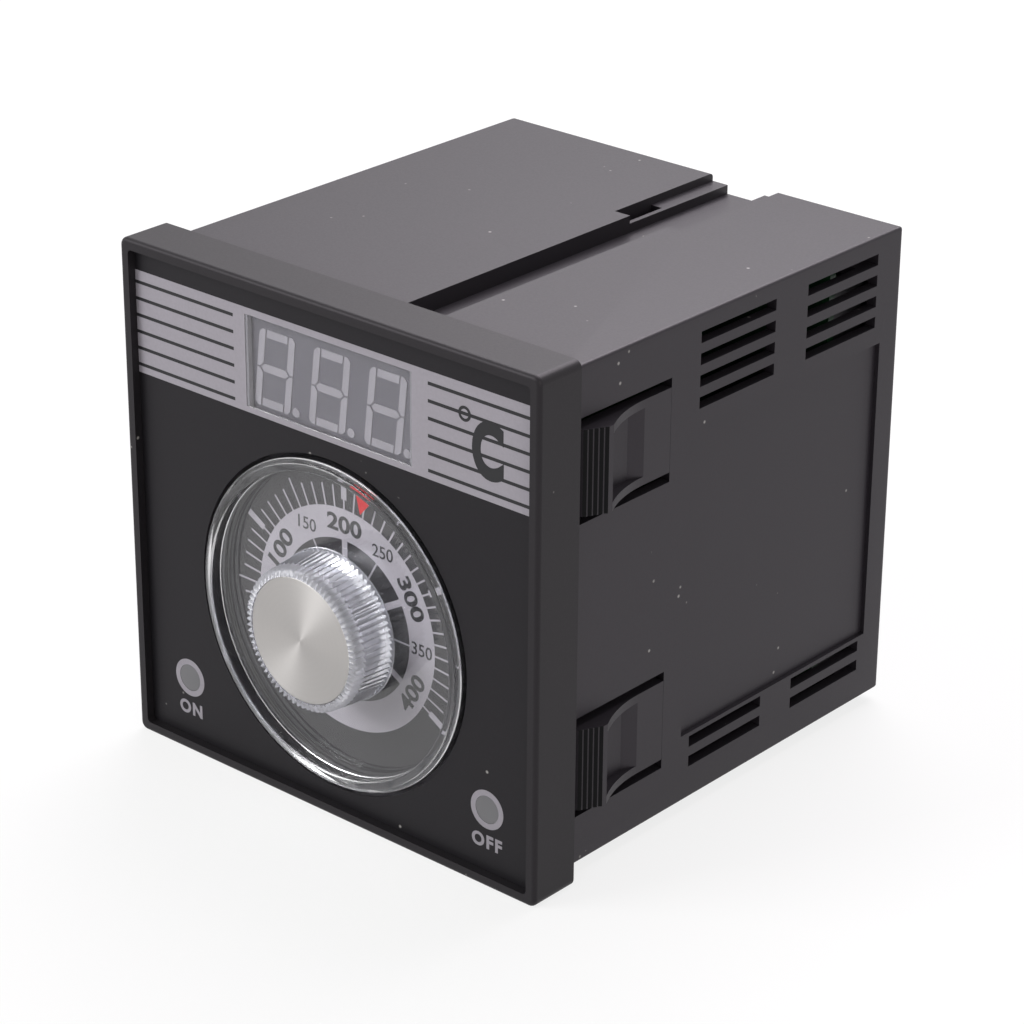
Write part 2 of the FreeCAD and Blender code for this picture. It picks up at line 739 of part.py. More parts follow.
def filter_capacitor():
    return can_capacitor(FILTER_R, FILTER_H, FILTER_X, FILTER_Y)


def small_capacitors():
    cans = []
    for i in (0, 1):
        cans.append(can_capacitor(SMALL_CAP_R, SMALL_CAP_H, FILTER_X - i * SMALL_CAP_PITCH, SMALL_CAP_Y))
    return Part.makeCompound(cans)


def rectifier_diodes():
    z = Z_MAIN_TOP + DIODE_R
    solids = []
    for i in range(DIODES):
        y = DIODE_Y + i * DIODE_PITCH
        x0 = DIODE_X - DIODE_L / 2
        body = Part.makeCylinder(DIODE_R, DIODE_L, V(x0, y, z), V(1, 0, 0))
        lead = Part.makeCylinder(
            DIODE_LEAD_R, DIODE_L + 2 * DIODE_LEAD_L, V(x0 - DIODE_LEAD_L, y, z), V(1, 0, 0))
        feet = []
        for x in (x0 - DIODE_LEAD_L, x0 + DIODE_L + DIODE_LEAD_L):
            feet.append(post(DIODE_LEAD_R, Z_MAIN_TOP, z, x, y))
        solids.append(joined(body, [lead] + feet))
    return Part.makeCompound(solids)


def control_chips():
    solids = []
    for i in (0, 1):
        y_mid = CHIP_Y + i * CHIP_STEP
        x0 = CHIP_X - CHIP_L / 2
        z0 = Z_MAIN_TOP + CHIP_LIFT
        body = block(x0, x0 + CHIP_L, y_mid - CHIP_W / 2, y_mid + CHIP_W / 2, z0, z0 + CHIP_H)
        legs = []
        for leg in range(CHIP_LEGS):
            x = CHIP_X + (leg - (CHIP_LEGS - 1) / 2) * CHIP_LEG_PITCH
            for y in (y_mid - CHIP_W / 2 - CHIP_LEG_T, y_mid + CHIP_W / 2):
                legs.append(block(
                    x - CHIP_LEG_W / 2, x + CHIP_LEG_W / 2, y, y + CHIP_LEG_T, Z_MAIN_TOP, z0 + CHIP_H / 2))
        solids.append(joined(body, legs))
    return Part.makeCompound(solids)


def trimmers():
    solids = []
    half = TRIMMER_SIDE / 2
    for i in (0, 1):
        x = TRIMMER_X + i * TRIMMER_STEP
        top = Z_MAIN_TOP + TRIMMER_H
        body = block(x - half, x + half, TRIMMER_Y - half, TRIMMER_Y + half, Z_MAIN_TOP, top)
        rotor = post(TRIMMER_ROTOR_R, top - TRIMMER_SLOT, top + TRIMMER_SLOT, x, TRIMMER_Y)
        y_slot = TRIMMER_Y - TRIMMER_SLOT / 2
        slot = block(
            x - TRIMMER_ROTOR_R, x + TRIMMER_ROTOR_R, y_slot, y_slot + TRIMMER_SLOT, top, top + PAST)
        solids.append(joined(body, [rotor]).cut(slot))
    return Part.makeCompound(solids)


# Case

def top_troughs(grow):
    """Inward bulges that carry the channel and its rear ledges, at the top of the case."""
    side = CASE_WALL + grow
    floor_z = HALF_CASE - CHANNEL_DEPTH - side
    ledge_z = HALF_CASE - LEDGE_DEPTH - side
    y_ledge = Y_CASE_END - LEDGE_LENGTH - side
    channel = block(CHANNEL_X0 - side, CHANNEL_X1 + side, Y_TROUGH, Y_CASE_END, floor_z, INNER + SEAT)
    wide = LEDGE_W + side
    ledges = block(CHANNEL_X0 - wide, CHANNEL_X1 + wide, y_ledge, Y_CASE_END, ledge_z, INNER + SEAT)
    return [channel, ledges]


def top_channel():
    """What is cut away for the channel, its rear ledges and their latch holes."""
    top = HALF_CASE + PAST
    end = Y_CASE_END + PAST
    y_ledge = Y_CASE_END - LEDGE_LENGTH
    ledge_z = HALF_CASE - LEDGE_DEPTH
    x_low = CHANNEL_X0 - LEDGE_W
    x_high = CHANNEL_X1 + LEDGE_W
    cuts = [
        block(CHANNEL_X0, CHANNEL_X1, BEZEL_DEPTH, end, HALF_CASE - CHANNEL_DEPTH, top),
        block(x_low, x_high, y_ledge, end, ledge_z, top),
    ]
    for x in (x_low, x_high - LATCH_W):
        cuts.append(block(x, x + LATCH_W, y_ledge, y_ledge + LATCH_L, ledge_z - CASE_WALL - PAST, top))
    return cuts


def side_vents():
    """Vent slots of the right-hand side."""
    slots = []
    for column in range(VENT_COLUMNS):
        y0 = BEZEL_DEPTH + VENT_FIRST + column * VENT_STEP
        tops = [Z_VENT - row * VENT_PITCH for row in range(VENT_TOP_ROWS)]
        tops += [Z_VENT_LOW - row * VENT_PITCH for row in range(VENT_LOW_ROWS)]
        for top in tops:
            slots.append(block(INNER - PAST, HALF_CASE + PAST, y0, y0 + VENT_LENGTH, top - VENT_H, top))
    return slots


def clip_window():
    """Opening round the upper right clip; its rear face leans away so that the clip's root can turn."""
    low = CLIP_RISE - CLIP_WIDTH / 2 - CLIP_SLOT
    lean = tan(radians(CLIP_SWING))
    y_edge = Y_ROOT + SEAT
    corners = [
        (HALF_CASE + PAST, BEZEL_DEPTH), (HALF_CASE + PAST, y_edge), (HALF_CASE, y_edge),
        (INNER - PAST, y_edge + (CASE_WALL + PAST) * lean), (INNER - PAST, BEZEL_DEPTH),
    ]
    return prism(corners, "Z", low, CLIP_WIDTH + 2 * CLIP_SLOT)


def side_cuts():
    y0 = BEZEL_DEPTH + SIDE_RECESS_START
    low = Z_VENT_LOW + SIDE_RECESS_LOW_GAP
    high = Z_VENT - (VENT_TOP_ROWS - 1) * VENT_PITCH - VENT_H - SIDE_RECESS_GAP
    recess = block(
        HALF_CASE - SIDE_RECESS_DEPTH, HALF_CASE + PAST, y0, y0 + SIDE_RECESS_LENGTH, low, high)
    window = clip_window()
    return side_vents() + [recess, window, mirrored_z(window)]


def card_guides():
    """Rails on the right-hand wall that hold the power board's edge, above and below it."""
    y0 = Y_ROOT + GUIDE_LEAD
    rails = []
    for z in (Z_MAIN_TOP + SLIP, Z_MAIN - BOARD_T / 2 - SLIP - GUIDE_W):
        rails.append(block(INNER - GUIDE_REACH, INNER + SEAT, y0, Y_TERM_BOARD - PAST, z, z + GUIDE_W))
    return rails


def cover_ledges():
    corner = INNER - COVER_LEDGE
    ledges = []
    for z in (corner, -INNER - SEAT):
        ledges.append(block(
            corner, INNER + SEAT, Y_COVER - COVER_LEDGE_L, Y_COVER, z, z + COVER_LEDGE + SEAT))
    return ledges


def case_shell():
    tube = prism(square(HALF_CASE, CASE_CORNER_R), "Y", Y_CASE, Y_CASE_END - Y_CASE)
    tube = tube.makeFillet(CASE_REAR_R, edges_at_y(tube, Y_CASE_END))
    tube = tube.cut(block(-INNER, INNER, Y_CASE - PAST, Y_CASE_END + PAST, -INNER, INNER))
    right = card_guides() + cover_ledges()
    bulges = top_troughs(0)
    inside = bulges + [mirrored_z(b) for b in bulges] + right + [mirrored_x(r) for r in right]
    tube = joined(tube, inside)
    channel = top_channel()
    sides = side_cuts()
    cuts = channel + [mirrored_z(c) for c in channel] + sides + [mirrored_x(s) for s in sides]
    return tube.cut(cuts)


# Snap clips

def snap_clip():
    """Upper right clip: a tongue in the side wall with a stepped ramp and two curved side ribs."""
    y_crest = BEZEL_DEPTH + CLIP_CREST
    y_back = y_crest + CLIP_CREST_W
    y_toe = BEZEL_DEPTH + CLIP_TOE
    y_tip = BEZEL_DEPTH + CLIP_TIP
    y_rib = BEZEL_DEPTH + CLIP_RIB_START
    floor_x = HALF_CASE - CLIP_POCKET
    crest_x = HALF_CASE + CLIP_REACH
    tongue = [
        (HALF_CASE, Y_ROOT), (HALF_CASE, y_rib), (floor_x, y_rib - CLIP_POCKET_SLOPE), (floor_x, y_back),
        (crest_x, y_back),
    ]
    step_x = (CLIP_REACH - CLIP_TOE_REACH) / CLIP_TEETH
    step_y = (y_crest - y_toe) / CLIP_TEETH
    for tooth in range(CLIP_TEETH):
        x = crest_x - tooth * step_x
        y = y_crest - tooth * step_y
        tongue += [(x, y), (x, y - CLIP_TREAD * step_y)]
    tongue += [(HALF_CASE + CLIP_TOE_REACH, y_toe), (HALF_CASE, y_tip), (INNER, y_tip), (INNER, Y_ROOT)]
    low = CLIP_RISE - CLIP_WIDTH / 2
    clip = prism(tongue, "Z", low, CLIP_WIDTH)
    run = y_rib - y_back
    sweep_r = (run ** 2 + CLIP_REACH ** 2) / (2 * CLIP_REACH)
    half_run = run / 2
    half_rise = sweep_r - sqrt(sweep_r ** 2 - half_run ** 2)
    ribs = []
    for z in (low, low + CLIP_WIDTH - CLIP_RIB_W):
        start = V(HALF_CASE, y_rib, z)
        top = V(crest_x, y_back, z)
        sweep = Part.Arc(start, V(HALF_CASE + half_rise, y_rib - half_run, z), top).toShape()
        foot = Part.makePolygon([top, V(floor_x, y_back, z), V(floor_x, y_rib, z), start])
        ribs.append(Part.Face(Part.Wire([sweep] + foot.Edges)).extrude(V(0, 0, CLIP_RIB_W)))
    return joined(clip, ribs)


# Back of the case

def term_rows():
    """Heights of the terminals' middles, from the bottom up."""
    return [(i - (TERM_COUNT - 1) / 2) * TERM_PITCH for i in range(TERM_COUNT)]


def screw_places():
    return [(side * (TERM_X + TERM_SCREW_X), z) for side in (-1, 1) for z in term_rows()]


def terminal_block():
    """Right-hand block: a base, a wall at each side and barriers between the terminals."""
    x0 = TERM_X - TERM_W / 2
    x1 = TERM_X + TERM_W / 2
    z0 = -TERM_LENGTH / 2
    base = block(x0, x1, Y_TERM, Y_TAB, z0, -z0)
    walls = [
        block(x0, x0 + BARRIER_T, Y_TAB - SEAT, Y_TERM_END, z0, -z0),
        block(x1 - TERM_OUTER_T, x1, Y_TAB - SEAT, Y_TERM_END, z0, -z0),
    ]
    for i in range(TERM_COUNT + 1):
        z = z0 + i * TERM_PITCH
        walls.append(block(x0, x1, Y_TAB - SEAT, Y_TERM_END, z, z + BARRIER_T))
    holes = []
    for z in term_rows():
        holes.append(rod(TERM_SCREW_R + SEAT, Y_TERM - PAST, Y_TAB + PAST, TERM_X + TERM_SCREW_X, z))
        holes.append(rod(TAB_PIN_R + SEAT, Y_TERM - PAST, Y_TAB + PAST, TERM_X - TERM_SCREW_X, z))
    return joined(base, walls).cut(holes)


def terminal_plates():
    half = TAB_SIDE / 2
    plates = []
    for z in term_rows():
        x = TERM_X + TERM_SCREW_X
        x_pin = TERM_X - TERM_SCREW_X
        tongue = 2 * TAB_PIN_R
        plate = block(x - half, x + half, Y_TAB, Y_CLAMP, z - half, z + half)
        pin = rod(TAB_PIN_R, Y_TERM_BOARD, Y_TAB + TAB_T / 2, x_pin, z)
        reach = block(x_pin - tongue, x, Y_TAB, Y_CLAMP, z - tongue, z + tongue)
        hole = rod(TERM_SCREW_R + SEAT, Y_TERM, Y_HEAD, x, z)
        plates.append(joined(plate, [pin, reach]).cut(hole))
    return Part.makeCompound(plates + [mirrored_x(plate) for plate in plates])


def terminal_clamps():
    half = CLAMP_SIDE / 2
    clamps = []
    for x, z in screw_places():
        plate = block(x - half, x + half, Y_CLAMP, Y_HEAD, z - half, z + half)
        lips = []
        y_lip = Y_HEAD + CLAMP_LIP
        for z_lip in (z - half, z + half - CLAMP_LIP):
            lips.append(block(x - half, x + half, Y_HEAD - SEAT, y_lip, z_lip, z_lip + CLAMP_LIP))
        clamps.append(joined(plate, lips).cut(rod(TERM_SCREW_R + SEAT, Y_TERM, Y_HEAD + PAST, x, z)))
    return Part.makeCompound(clamps)


def terminal_screws():
    screws = []
    for x, z in screw_places():
        top = Y_HEAD + TERM_HEAD_T
        head = rod(TERM_HEAD_R, Y_HEAD, top, x, z)
        head = head.makeChamfer(TERM_HEAD_EDGE, edges_at_y(head, top))
        shank = rod(TERM_SCREW_R, Y_HEAD - TERM_SCREW_L, Y_HEAD, x, z)
        screws.append(joined(head, [shank]).cut(cross_recess(x, top, z)))
    return Part.makeCompound(screws)


def terminal_board():
    half_w = INNER - TERM_BOARD_SIDE_GAP
    half_h = INNER - TERM_BOARD_END_GAP
    board = block(-half_w, half_w, Y_TERM_BOARD, Y_TERM, -half_h, half_h)
    holes = [rod(SCREW_R + SEAT, 0, Y_CASE_END, x, z) for x, z in four_points(POST_X, POST_RISE, POST_RISE)]
    for side in (-1, 1):
        for z in term_rows():
            holes.append(rod(TAB_PIN_R + SEAT, 0, Y_CASE_END, side * (TERM_X - TERM_SCREW_X), z))
    return board.cut(holes)


def terminal_board_screws():
    places = four_points(POST_X, POST_RISE, POST_RISE)
    return Part.makeCompound([board_screw(x, z, Y_TERM_BOARD, 1) for x, z in places])


def rear_cover():
    half = INNER - SLIP
    plate = block(-half, half, Y_COVER, Y_COVER_BACK, -half, half)
    bulges = top_troughs(SLIP)
    openings = bulges + [mirrored_z(b) for b in bulges]
    z_term = TERM_LENGTH / 2 + SLIP
    x_term = TERM_W / 2 + SLIP
    y_past = Y_COVER_BACK + PAST
    for x in (-TERM_X, TERM_X):
        openings.append(block(x - x_term, x + x_term, Y_COVER - PAST, y_past, -z_term, z_term))
    places = four_points(POST_X, POST_RISE, POST_RISE)
    posts = [rod(POST_R, Y_TERM, Y_COVER + SEAT, x, z) for x, z in places]
    pilots = [rod(SCREW_R + SEAT, Y_TERM - PAST, Y_TERM + SCREW_L, x, z) for x, z in places]
    return joined(plate, posts).cut(openings + pilots)


def parts():
    clip = snap_clip()
    return {
        "bezel": bezel(),
        "face_overlay": face_overlay(),
        "display_window": display_window(),
        "display_module": display_module(),
        "display_segments": display_segments(),
        "on_lamp_lens": lamp_lens(-1),
        "off_lamp_lens": lamp_lens(1),
        "indicator_leds": indicator_leds(),
        "scale_plate": scale_plate(),
        "dial_disc": dial_disc(),
        "knob_grip": knob_grip(),
        "knob_cap": knob_cap(),
        "dial_pointer": dial_pointer(),
        "pot_shaft": pot_shaft(),
        "pot_body": pot_body(),
        "pot_washer": pot_washer(),
        "pot_nut": pot_nut(),
        "front_board": front_board(),
        "front_board_screws": front_board_screws(),
        "main_board": main_board(),
        "board_header": board_header(),
        "transformer_core": transformer_core(),
        "transformer_coil": transformer_coil(),
        "relay": relay(),
        "filter_capacitor": filter_capacitor(),
        "small_capacitors": small_capacitors(),
        "rectifier_diodes": rectifier_diodes(),
        "control_chips": control_chips(),
        "trimmers": trimmers(),
        "case_shell": case_shell(),
        "clip_upper_right": clip,
        "clip_lower_right": mirrored_z(clip),
        "clip_upper_left": mirrored_x(clip),
        "clip_lower_left": mirrored_z(mirrored_x(clip)),
        "rear_cover": rear_cover(),
        "terminal_board": terminal_board(),
        "terminal_board_screws": terminal_board_screws(),
        "terminal_block_right": terminal_block(),
        "terminal_block_left": mirrored_x(terminal_block()),
        "terminal_plates": terminal_plates(),
        "terminal_clamps": terminal_clamps(),
        "terminal_screws": terminal_screws(),
    }


# The row frame: middle of the whole part in X and Y, Z = 0 under the bezel
TO_ROW_FRAME = V(0, -(Y_GRIP + Y_CASE_END) / 2, HALF_BEZEL)

os.makedirs("parts", exist_ok=True)
for name, shape in parts().items():
    shape.translate(TO_ROW_FRAME)
    shape.exportStep(os.path.join("parts", name + ".step"))
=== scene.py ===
import json
import math

import bmesh
import bpy
from bpy.props import FloatProperty, FloatVectorProperty, IntProperty, PointerProperty
from mathutils import Matrix, Vector


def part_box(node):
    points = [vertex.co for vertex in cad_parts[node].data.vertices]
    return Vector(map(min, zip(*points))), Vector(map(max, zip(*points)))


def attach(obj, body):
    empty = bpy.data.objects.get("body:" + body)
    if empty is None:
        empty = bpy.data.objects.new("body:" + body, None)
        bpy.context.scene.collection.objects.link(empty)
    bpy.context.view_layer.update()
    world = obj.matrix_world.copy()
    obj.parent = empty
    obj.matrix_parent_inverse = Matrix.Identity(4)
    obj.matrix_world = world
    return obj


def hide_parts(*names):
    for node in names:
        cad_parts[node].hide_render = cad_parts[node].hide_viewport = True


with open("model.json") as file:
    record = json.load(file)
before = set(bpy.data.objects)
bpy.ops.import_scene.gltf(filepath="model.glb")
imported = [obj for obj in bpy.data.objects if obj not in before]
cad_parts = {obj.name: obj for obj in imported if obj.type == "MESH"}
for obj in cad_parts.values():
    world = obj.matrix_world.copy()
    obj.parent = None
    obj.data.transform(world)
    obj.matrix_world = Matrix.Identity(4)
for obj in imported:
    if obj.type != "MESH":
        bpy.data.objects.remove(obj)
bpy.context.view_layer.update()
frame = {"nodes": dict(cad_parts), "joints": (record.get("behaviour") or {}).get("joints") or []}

bl_info = {
    "name": "Panel oven temperature controller",
    "version": (1, 0, 0),
    "blender": (4, 5, 0),
    "location": "3D View > Sidebar > Controller",
    "description": "Dresses the packed controller with its prints, clear dial, finishes and studio",
    "category": "Object",
}

MM = 0.001

# How near two points are merged, in a copied CAD node and in a piece, and how near is the same place
NODE_MERGE = 0.001 * MM
PIECE_MERGE = 0.002 * MM
SAME_PLACE = 0.01 * MM

SPIN_STEPS = 180
FACING_FRONT = (math.pi / 2, 0, 0)

# Values between which nearly all of a noise lies
NOISE_LOW = 0.3
NOISE_HIGH = 0.7

# Tones of the sheen, the dust, the boards and the clear dial
SHEEN_TINT = (1.0, 0.93, 1.0, 1.0)
DUST_TONE = (0.30, 0.29, 0.28)
LACQUER_GREEN = (0.006, 0.035, 0.012)
TRACK_GREEN = (0.009, 0.055, 0.018)
KNOB_TINT = (0.89, 0.90, 0.96)
RIM_TINT = (0.62, 0.62, 0.68)

# Places that the pieces take from the frame
BEZEL_LOW, BEZEL_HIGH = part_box("bezel")
FACE_Z = (BEZEL_LOW.z + BEZEL_HIGH.z) / 2
FILM_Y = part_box("face_overlay")[0].y
WINDOW_LOW, WINDOW_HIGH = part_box("display_window")
SCALE_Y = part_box("scale_plate")[0].y
CUP_LOW, CUP_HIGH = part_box("dial_disc")
GRIP_LOW, GRIP_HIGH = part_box("knob_grip")
CAP_LOW, CAP_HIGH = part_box("knob_cap")
DIAL_X, _, DIAL_Z = next(joint["pos_m"] for joint in frame["joints"] if joint["name"] == "dial_turn")
DIAL_CENTRE = (DIAL_X, 0, DIAL_Z)


def length(mm, name, description):
    return FloatProperty(name=name, description=description, default=mm * MM, unit="LENGTH", precision=5)


def angle(degrees, name, description):
    return FloatProperty(
        name=name, description=description, default=math.radians(degrees), subtype="ANGLE")


def amount(default, name, description):
    return FloatProperty(name=name, description=description, default=default)


def count(default, name, description, least=1):
    return IntProperty(name=name, description=description, default=default, min=least)


def colour(red, green, blue, name, description):
    return FloatVectorProperty(
        name=name, description=description, default=(red, green, blue), min=0, max=1, subtype="COLOR")


class CaseSizes(bpy.types.PropertyGroup):
    """Sizes of the case that its visible body changes."""

    packed_round: length(1.8, "Packed rounding", "Rounding of the packed solid's edges")
    edge_round: length(0.6, "Edge rounding", "Tighter rounding of the visible edges")


class PrintSizes(bpy.types.PropertyGroup):
    """Sizes of what is printed on the face film."""

    ink: length(0.02, "Ink", "How far the ink stands proud")
    lining: length(0.12, "Lining", "Thickness of the display's lining")
    band_side: length(2.0, "Band side", "From the bezel's side to the band's end")
    band_over: length(1.25, "Band over", "Band shown above the display window")
    band_under: length(1.1, "Band under", "Band shown below the display window")
    line_count: count(6, "Lines", "Lines in each group")
    line_width: length(0.6, "Line width", "Thickness of a line")
    line_pitch: length(3.08, "Line pitch", "From one line to the next")
    line_first: length(2.2, "First line", "From the band's top to the first line")
    line_gap_left: length(2.8, "Left gap", "From the window to the left-hand lines")
    line_gap_right: length(3.6, "Right gap", "From the window to the right-hand lines")
    sign_x: length(35.8, "Sign place", "From the face's middle to the letter C")
    sign_z: length(31.7, "Sign height", "From the face's middle up to the letter C")
    sign_height: length(10.4, "Letter height", "Height of the letter C")
    sign_width: length(6.8, "Letter width", "Width of the letter C")
    degree_radius: length(1.36, "Degree ring", "Outer radius of the degree ring")
    degree_shift: length(5.0, "Degree shift", "From the letter to the degree ring, left and up")
    lamp_ring: length(3.65, "Lamp ring", "Outer radius of a lamp's ring")
    lamp_hole: length(2.57, "Lamp hole", "Inner radius of a lamp's ring")
    word_drop: length(6.2, "Word drop", "From a lamp down to its word")
    word_height: length(2.7, "Word height", "Height of the capitals under the lamps")
    word_space: amount(1.2, "Word spacing", "Spacing of the capitals")


class ScaleSizes(bpy.types.PropertyGroup):
    """Sizes of what is printed on the scale plate behind the clear dial."""

    ring_inner: length(15.1, "Ring inside", "Inner radius of the pale number ring")
    ring_outer: length(21.0, "Ring outside", "Outer radius of the pale number ring")
    number_radius: length(18.0, "Number radius", "From the dial's axis to a number")
    first_angle: angle(-120, "First angle", "Where the scale starts, from the top")
    step_angle: angle(60, "Hundred", "Angle of one hundred degrees on the scale")
    hundreds: count(4, "Hundreds", "Hundreds on the scale")
    major_height: length(3.25, "Hundreds height", "Height of the numbers at the hundreds")
    major_width: length(2.75, "Hundreds width", "Width of one of their figures")
    minor_height: length(2.4, "Fifties height", "Height of the numbers at the fifties")
    tick_width: length(0.35, "Tick width", "Thickness of a thin tick")
    tick_end: length(25.1, "Tick end", "Radius where a ten's tick ends")
    half_end: length(26.5, "Fifty end", "Radius where a fifty's tick ends")
    bar_start: length(22.8, "Bar start", "Radius where a hundred's bar starts")
    bar_end: length(27.0, "Bar end", "Radius where a hundred's bar ends")
    bar_width: length(1.25, "Bar width", "Thickness of a hundred's bar")
    spoke_start: length(8.0, "Spoke start", "Radius where the inner divisions start")


class DialSizes(bpy.types.PropertyGroup):
    """Sizes of the clear dial that the frame doesn't give."""

    cup_wall: length(2.3, "Cup wall", "Thickness of the clear cup's rim")
    cup_floor: length(1.8, "Cup floor", "Thickness of the clear cup's floor")
    cup_round: length(0.35, "Cup round", "Rounding of the cup's edges")
    step_width: length(0.8, "Step width", "Width of the lower step round the rim")
    step_depth: length(0.6, "Step depth", "How far the step lies behind the rim")
    hub_radius: length(6.0, "Hub", "Radius of the hub that the shaft goes into")
    flutes: count(72, "Flutes", "Flutes round the knob", least=3)
    flute_depth: length(0.75, "Flute depth", "Depth of a flute")
    lip_depth: length(0.6, "Lip depth", "Depth of a flute at the cap's seat")
    collar: length(0.3, "Collar", "Height of the plain collar at the knob's foot")
    knob_draft: length(0.6, "Knob draft", "How much the knob narrows towards its front")
    knob_bevel: length(0.8, "Knob bevel", "Bevel round the knob's front")
    knob_wall: length(2.6, "Knob wall", "Thickness of the clear knob's wall")
    knob_front: length(2.0, "Knob front", "Thickness of the clear knob behind its cap")
    frost_depth: length(2.4, "Frosted front", "How far back the knob is frosted")
    pointer_shift: length(0.9, "Pointer shift", "How far out the pointer is moved")
    air: length(0.02, "Air", "Air between the knob and its neighbours")


class FinishColours(bpy.types.PropertyGroup):
    """Colours of the finishes."""

    bezel: colour(0.0110, 0.0100, 0.0115, "Bezel", "Darker black plastic of the bezel")
    housing: colour(0.0150, 0.0130, 0.0165, "Housing", "Textured black plastic of the case")
    film: colour(0.010, 0.0095, 0.011, "Film", "Printed black of the face film")
    ink_grey: colour(0.280, 0.265, 0.295, "Grey ink", "Pale ink of the band, rings and words")
    ink_black: colour(0.012, 0.012, 0.014, "Black ink", "Dark ink of the lines and numbers")
    display: colour(0.068, 0.064, 0.078, "Display", "Grey face of the display")
    # Lighter than the display face: painted light over the shaded walls of the display opening
    lining: colour(0.19, 0.185, 0.205, "Lining", "Grey sheet round the display")
    segment: colour(0.20, 0.19, 0.212, "Segment", "Unlit segments")
    lens: colour(0.125, 0.125, 0.132, "Lens", "Unlit lamp lenses")
    # Near black that paints the shade on the slopes between the clips' ribs
    rib_shade: colour(0.002, 0.002, 0.0025, "Rib", "Shaded slopes between the clips' ribs")
    pointer: colour(0.40, 0.002, 0.006, "Pointer", "Red pointer")
    cap: colour(0.455, 0.44, 0.43, "Cap", "Spun aluminium of the knob's cap")


class StageSettings(bpy.types.PropertyGroup):
    """Where the camera stands and how the studio is lit."""

    azimuth: angle(41.167, "Azimuth", "The camera's angle to the right of the front")
    elevation: angle(24.67, "Elevation", "The camera's angle above the horizon")
    roll: angle(0.404, "Roll", "The camera's turn about its own axis")
    distance: length(607.1, "Distance", "From the camera to where it looks")
    target_x: length(3.049, "Target X", "Where the camera looks, across")
    target_y: length(-2.15, "Target Y", "Where the camera looks, front to back")
    target_z: length(44.033, "Target Z", "Where the camera looks, upwards")
    lens: amount(119.4, "Lens", "Focal length in millimetres")
    sensor: amount(36.0, "Sensor", "Sensor width in millimetres")
    floor_side: length(8000.0, "Floor", "Side of the pale floor")
    sky: amount(0.25, "Sky", "Strength of the light from all round")
    veil: amount(0.8, "Veil", "How far the floor is shown as white")


def sizes(name):
    """One of the groups of sizes or colours that the scene holds."""
    return getattr(bpy.context.scene, "controller_" + name)


# Modelling helpers

def clear_selection():
    """Leaves edit mode and selects nothing."""
    if bpy.context.mode != "OBJECT":
        bpy.ops.object.mode_set(mode="OBJECT")
    bpy.ops.object.select_all(action="DESELECT")


def start_piece(name):
    """Names the object that was just added and puts its place into its mesh."""
    piece = bpy.context.object
    piece.name = name
    piece.data.name = name
    bpy.ops.object.transform_apply(location=True, rotation=True, scale=True)
    return piece


def choose(piece):
    """Makes this the one selected and active piece."""
    clear_selection()
    piece.select_set(True)
    bpy.context.view_layer.objects.active = piece


def edit(piece):
    choose(piece)
    bpy.ops.object.mode_set(mode="EDIT")
    bpy.ops.mesh.select_mode(type="VERT")


def pick(piece, test, kind="VERT"):
    """In edit mode, selects the vertices or faces whose place passes the test."""
    bpy.ops.mesh.select_mode(type=kind)
    bpy.ops.mesh.select_all(action="DESELECT")
    mesh = bmesh.from_edit_mesh(piece.data)
    if kind == "FACE":
        for face in mesh.faces:
            face.select_set(test(face.calc_center_median()))
    else:
        for vert in mesh.verts:
            vert.select_set(test(vert.co))
        mesh.select_flush(True)
    bmesh.update_edit_mesh(piece.data)


def select_mesh():
    bpy.ops.mesh.select_all(action="SELECT")


def cut_out(border):
    """In edit mode, cuts the middle out of a flat face and leaves a border."""
    select_mesh()
    bpy.ops.mesh.inset(thickness=border)
    bpy.ops.mesh.delete(type="FACE")


def close_surface():
    """In edit mode, merges doubles and turns all faces outwards."""
    select_mesh()
    bpy.ops.mesh.remove_doubles(threshold=PIECE_MERGE)
    bpy.ops.mesh.normals_make_consistent(inside=False)


def leave_edit(sharp):
    """Leaves edit mode with smooth rounds, and crisp edges past a sharp angle."""
    bpy.ops.object.mode_set(mode="OBJECT")
    bpy.ops.object.shade_smooth_by_angle(angle=math.radians(sharp))


def finish_edit(sharp=35):
    bpy.ops.mesh.select_mode(type="VERT")
    close_surface()
    leave_edit(sharp)


def thicken(piece, thickness):
    """Gives a flat print its thickness of ink, towards the front."""
    choose(piece)
    ink = piece.modifiers.new("ink", "SOLIDIFY")
    ink.thickness = thickness
    ink.offset = 1
    bpy.ops.object.modifier_apply(modifier=ink.name)
    bpy.ops.object.shade_flat()
    return piece


def copy_node(node, name):
    """A merged copy of a CAD node, left in edit mode with all of it selected."""
    piece = bpy.data.objects.new(name, frame["nodes"][node].data.copy())
    piece.data.name = name
    bpy.context.scene.collection.objects.link(piece)
    choose(piece)
    bpy.ops.mesh.customdata_custom_splitnormals_clear()
    edit(piece)
    select_mesh()
    bpy.ops.mesh.remove_doubles(threshold=NODE_MERGE)
    return piece


def join(pieces, name):
    clear_selection()
    for piece in pieces:
        piece.select_set(True)
    bpy.context.view_layer.objects.active = pieces[0]
    bpy.ops.object.join()
    return start_piece(name)


def dress(piece, finish, body):
    piece.data.materials.clear()
    piece.data.materials.append(finish)
    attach(piece, body)


def print_on(piece, finish):
    """Gives a flat print its ink and sets it on the case."""
    dress(thicken(piece, sizes("print").ink), finish, "case")


def second_finish(piece, finish, test):
    """Puts another finish on the faces whose middle passes the test."""
    piece.data.materials.append(finish)
    edit(piece)
    pick(piece, test, "FACE")
    piece.active_material_index = 1
    bpy.ops.object.material_slot_assign()
    bpy.ops.object.mode_set(mode="OBJECT")


def add_panel(name, x0, x1, z0, z1, y):
    """Flat rectangle that faces the front."""
    clear_selection()
    bpy.ops.mesh.primitive_plane_add(
        size=1, location=((x0 + x1) / 2, y, (z0 + z1) / 2), rotation=FACING_FRONT)
    bpy.context.object.scale = (x1 - x0, z1 - z0, 1)
    return start_piece(name)


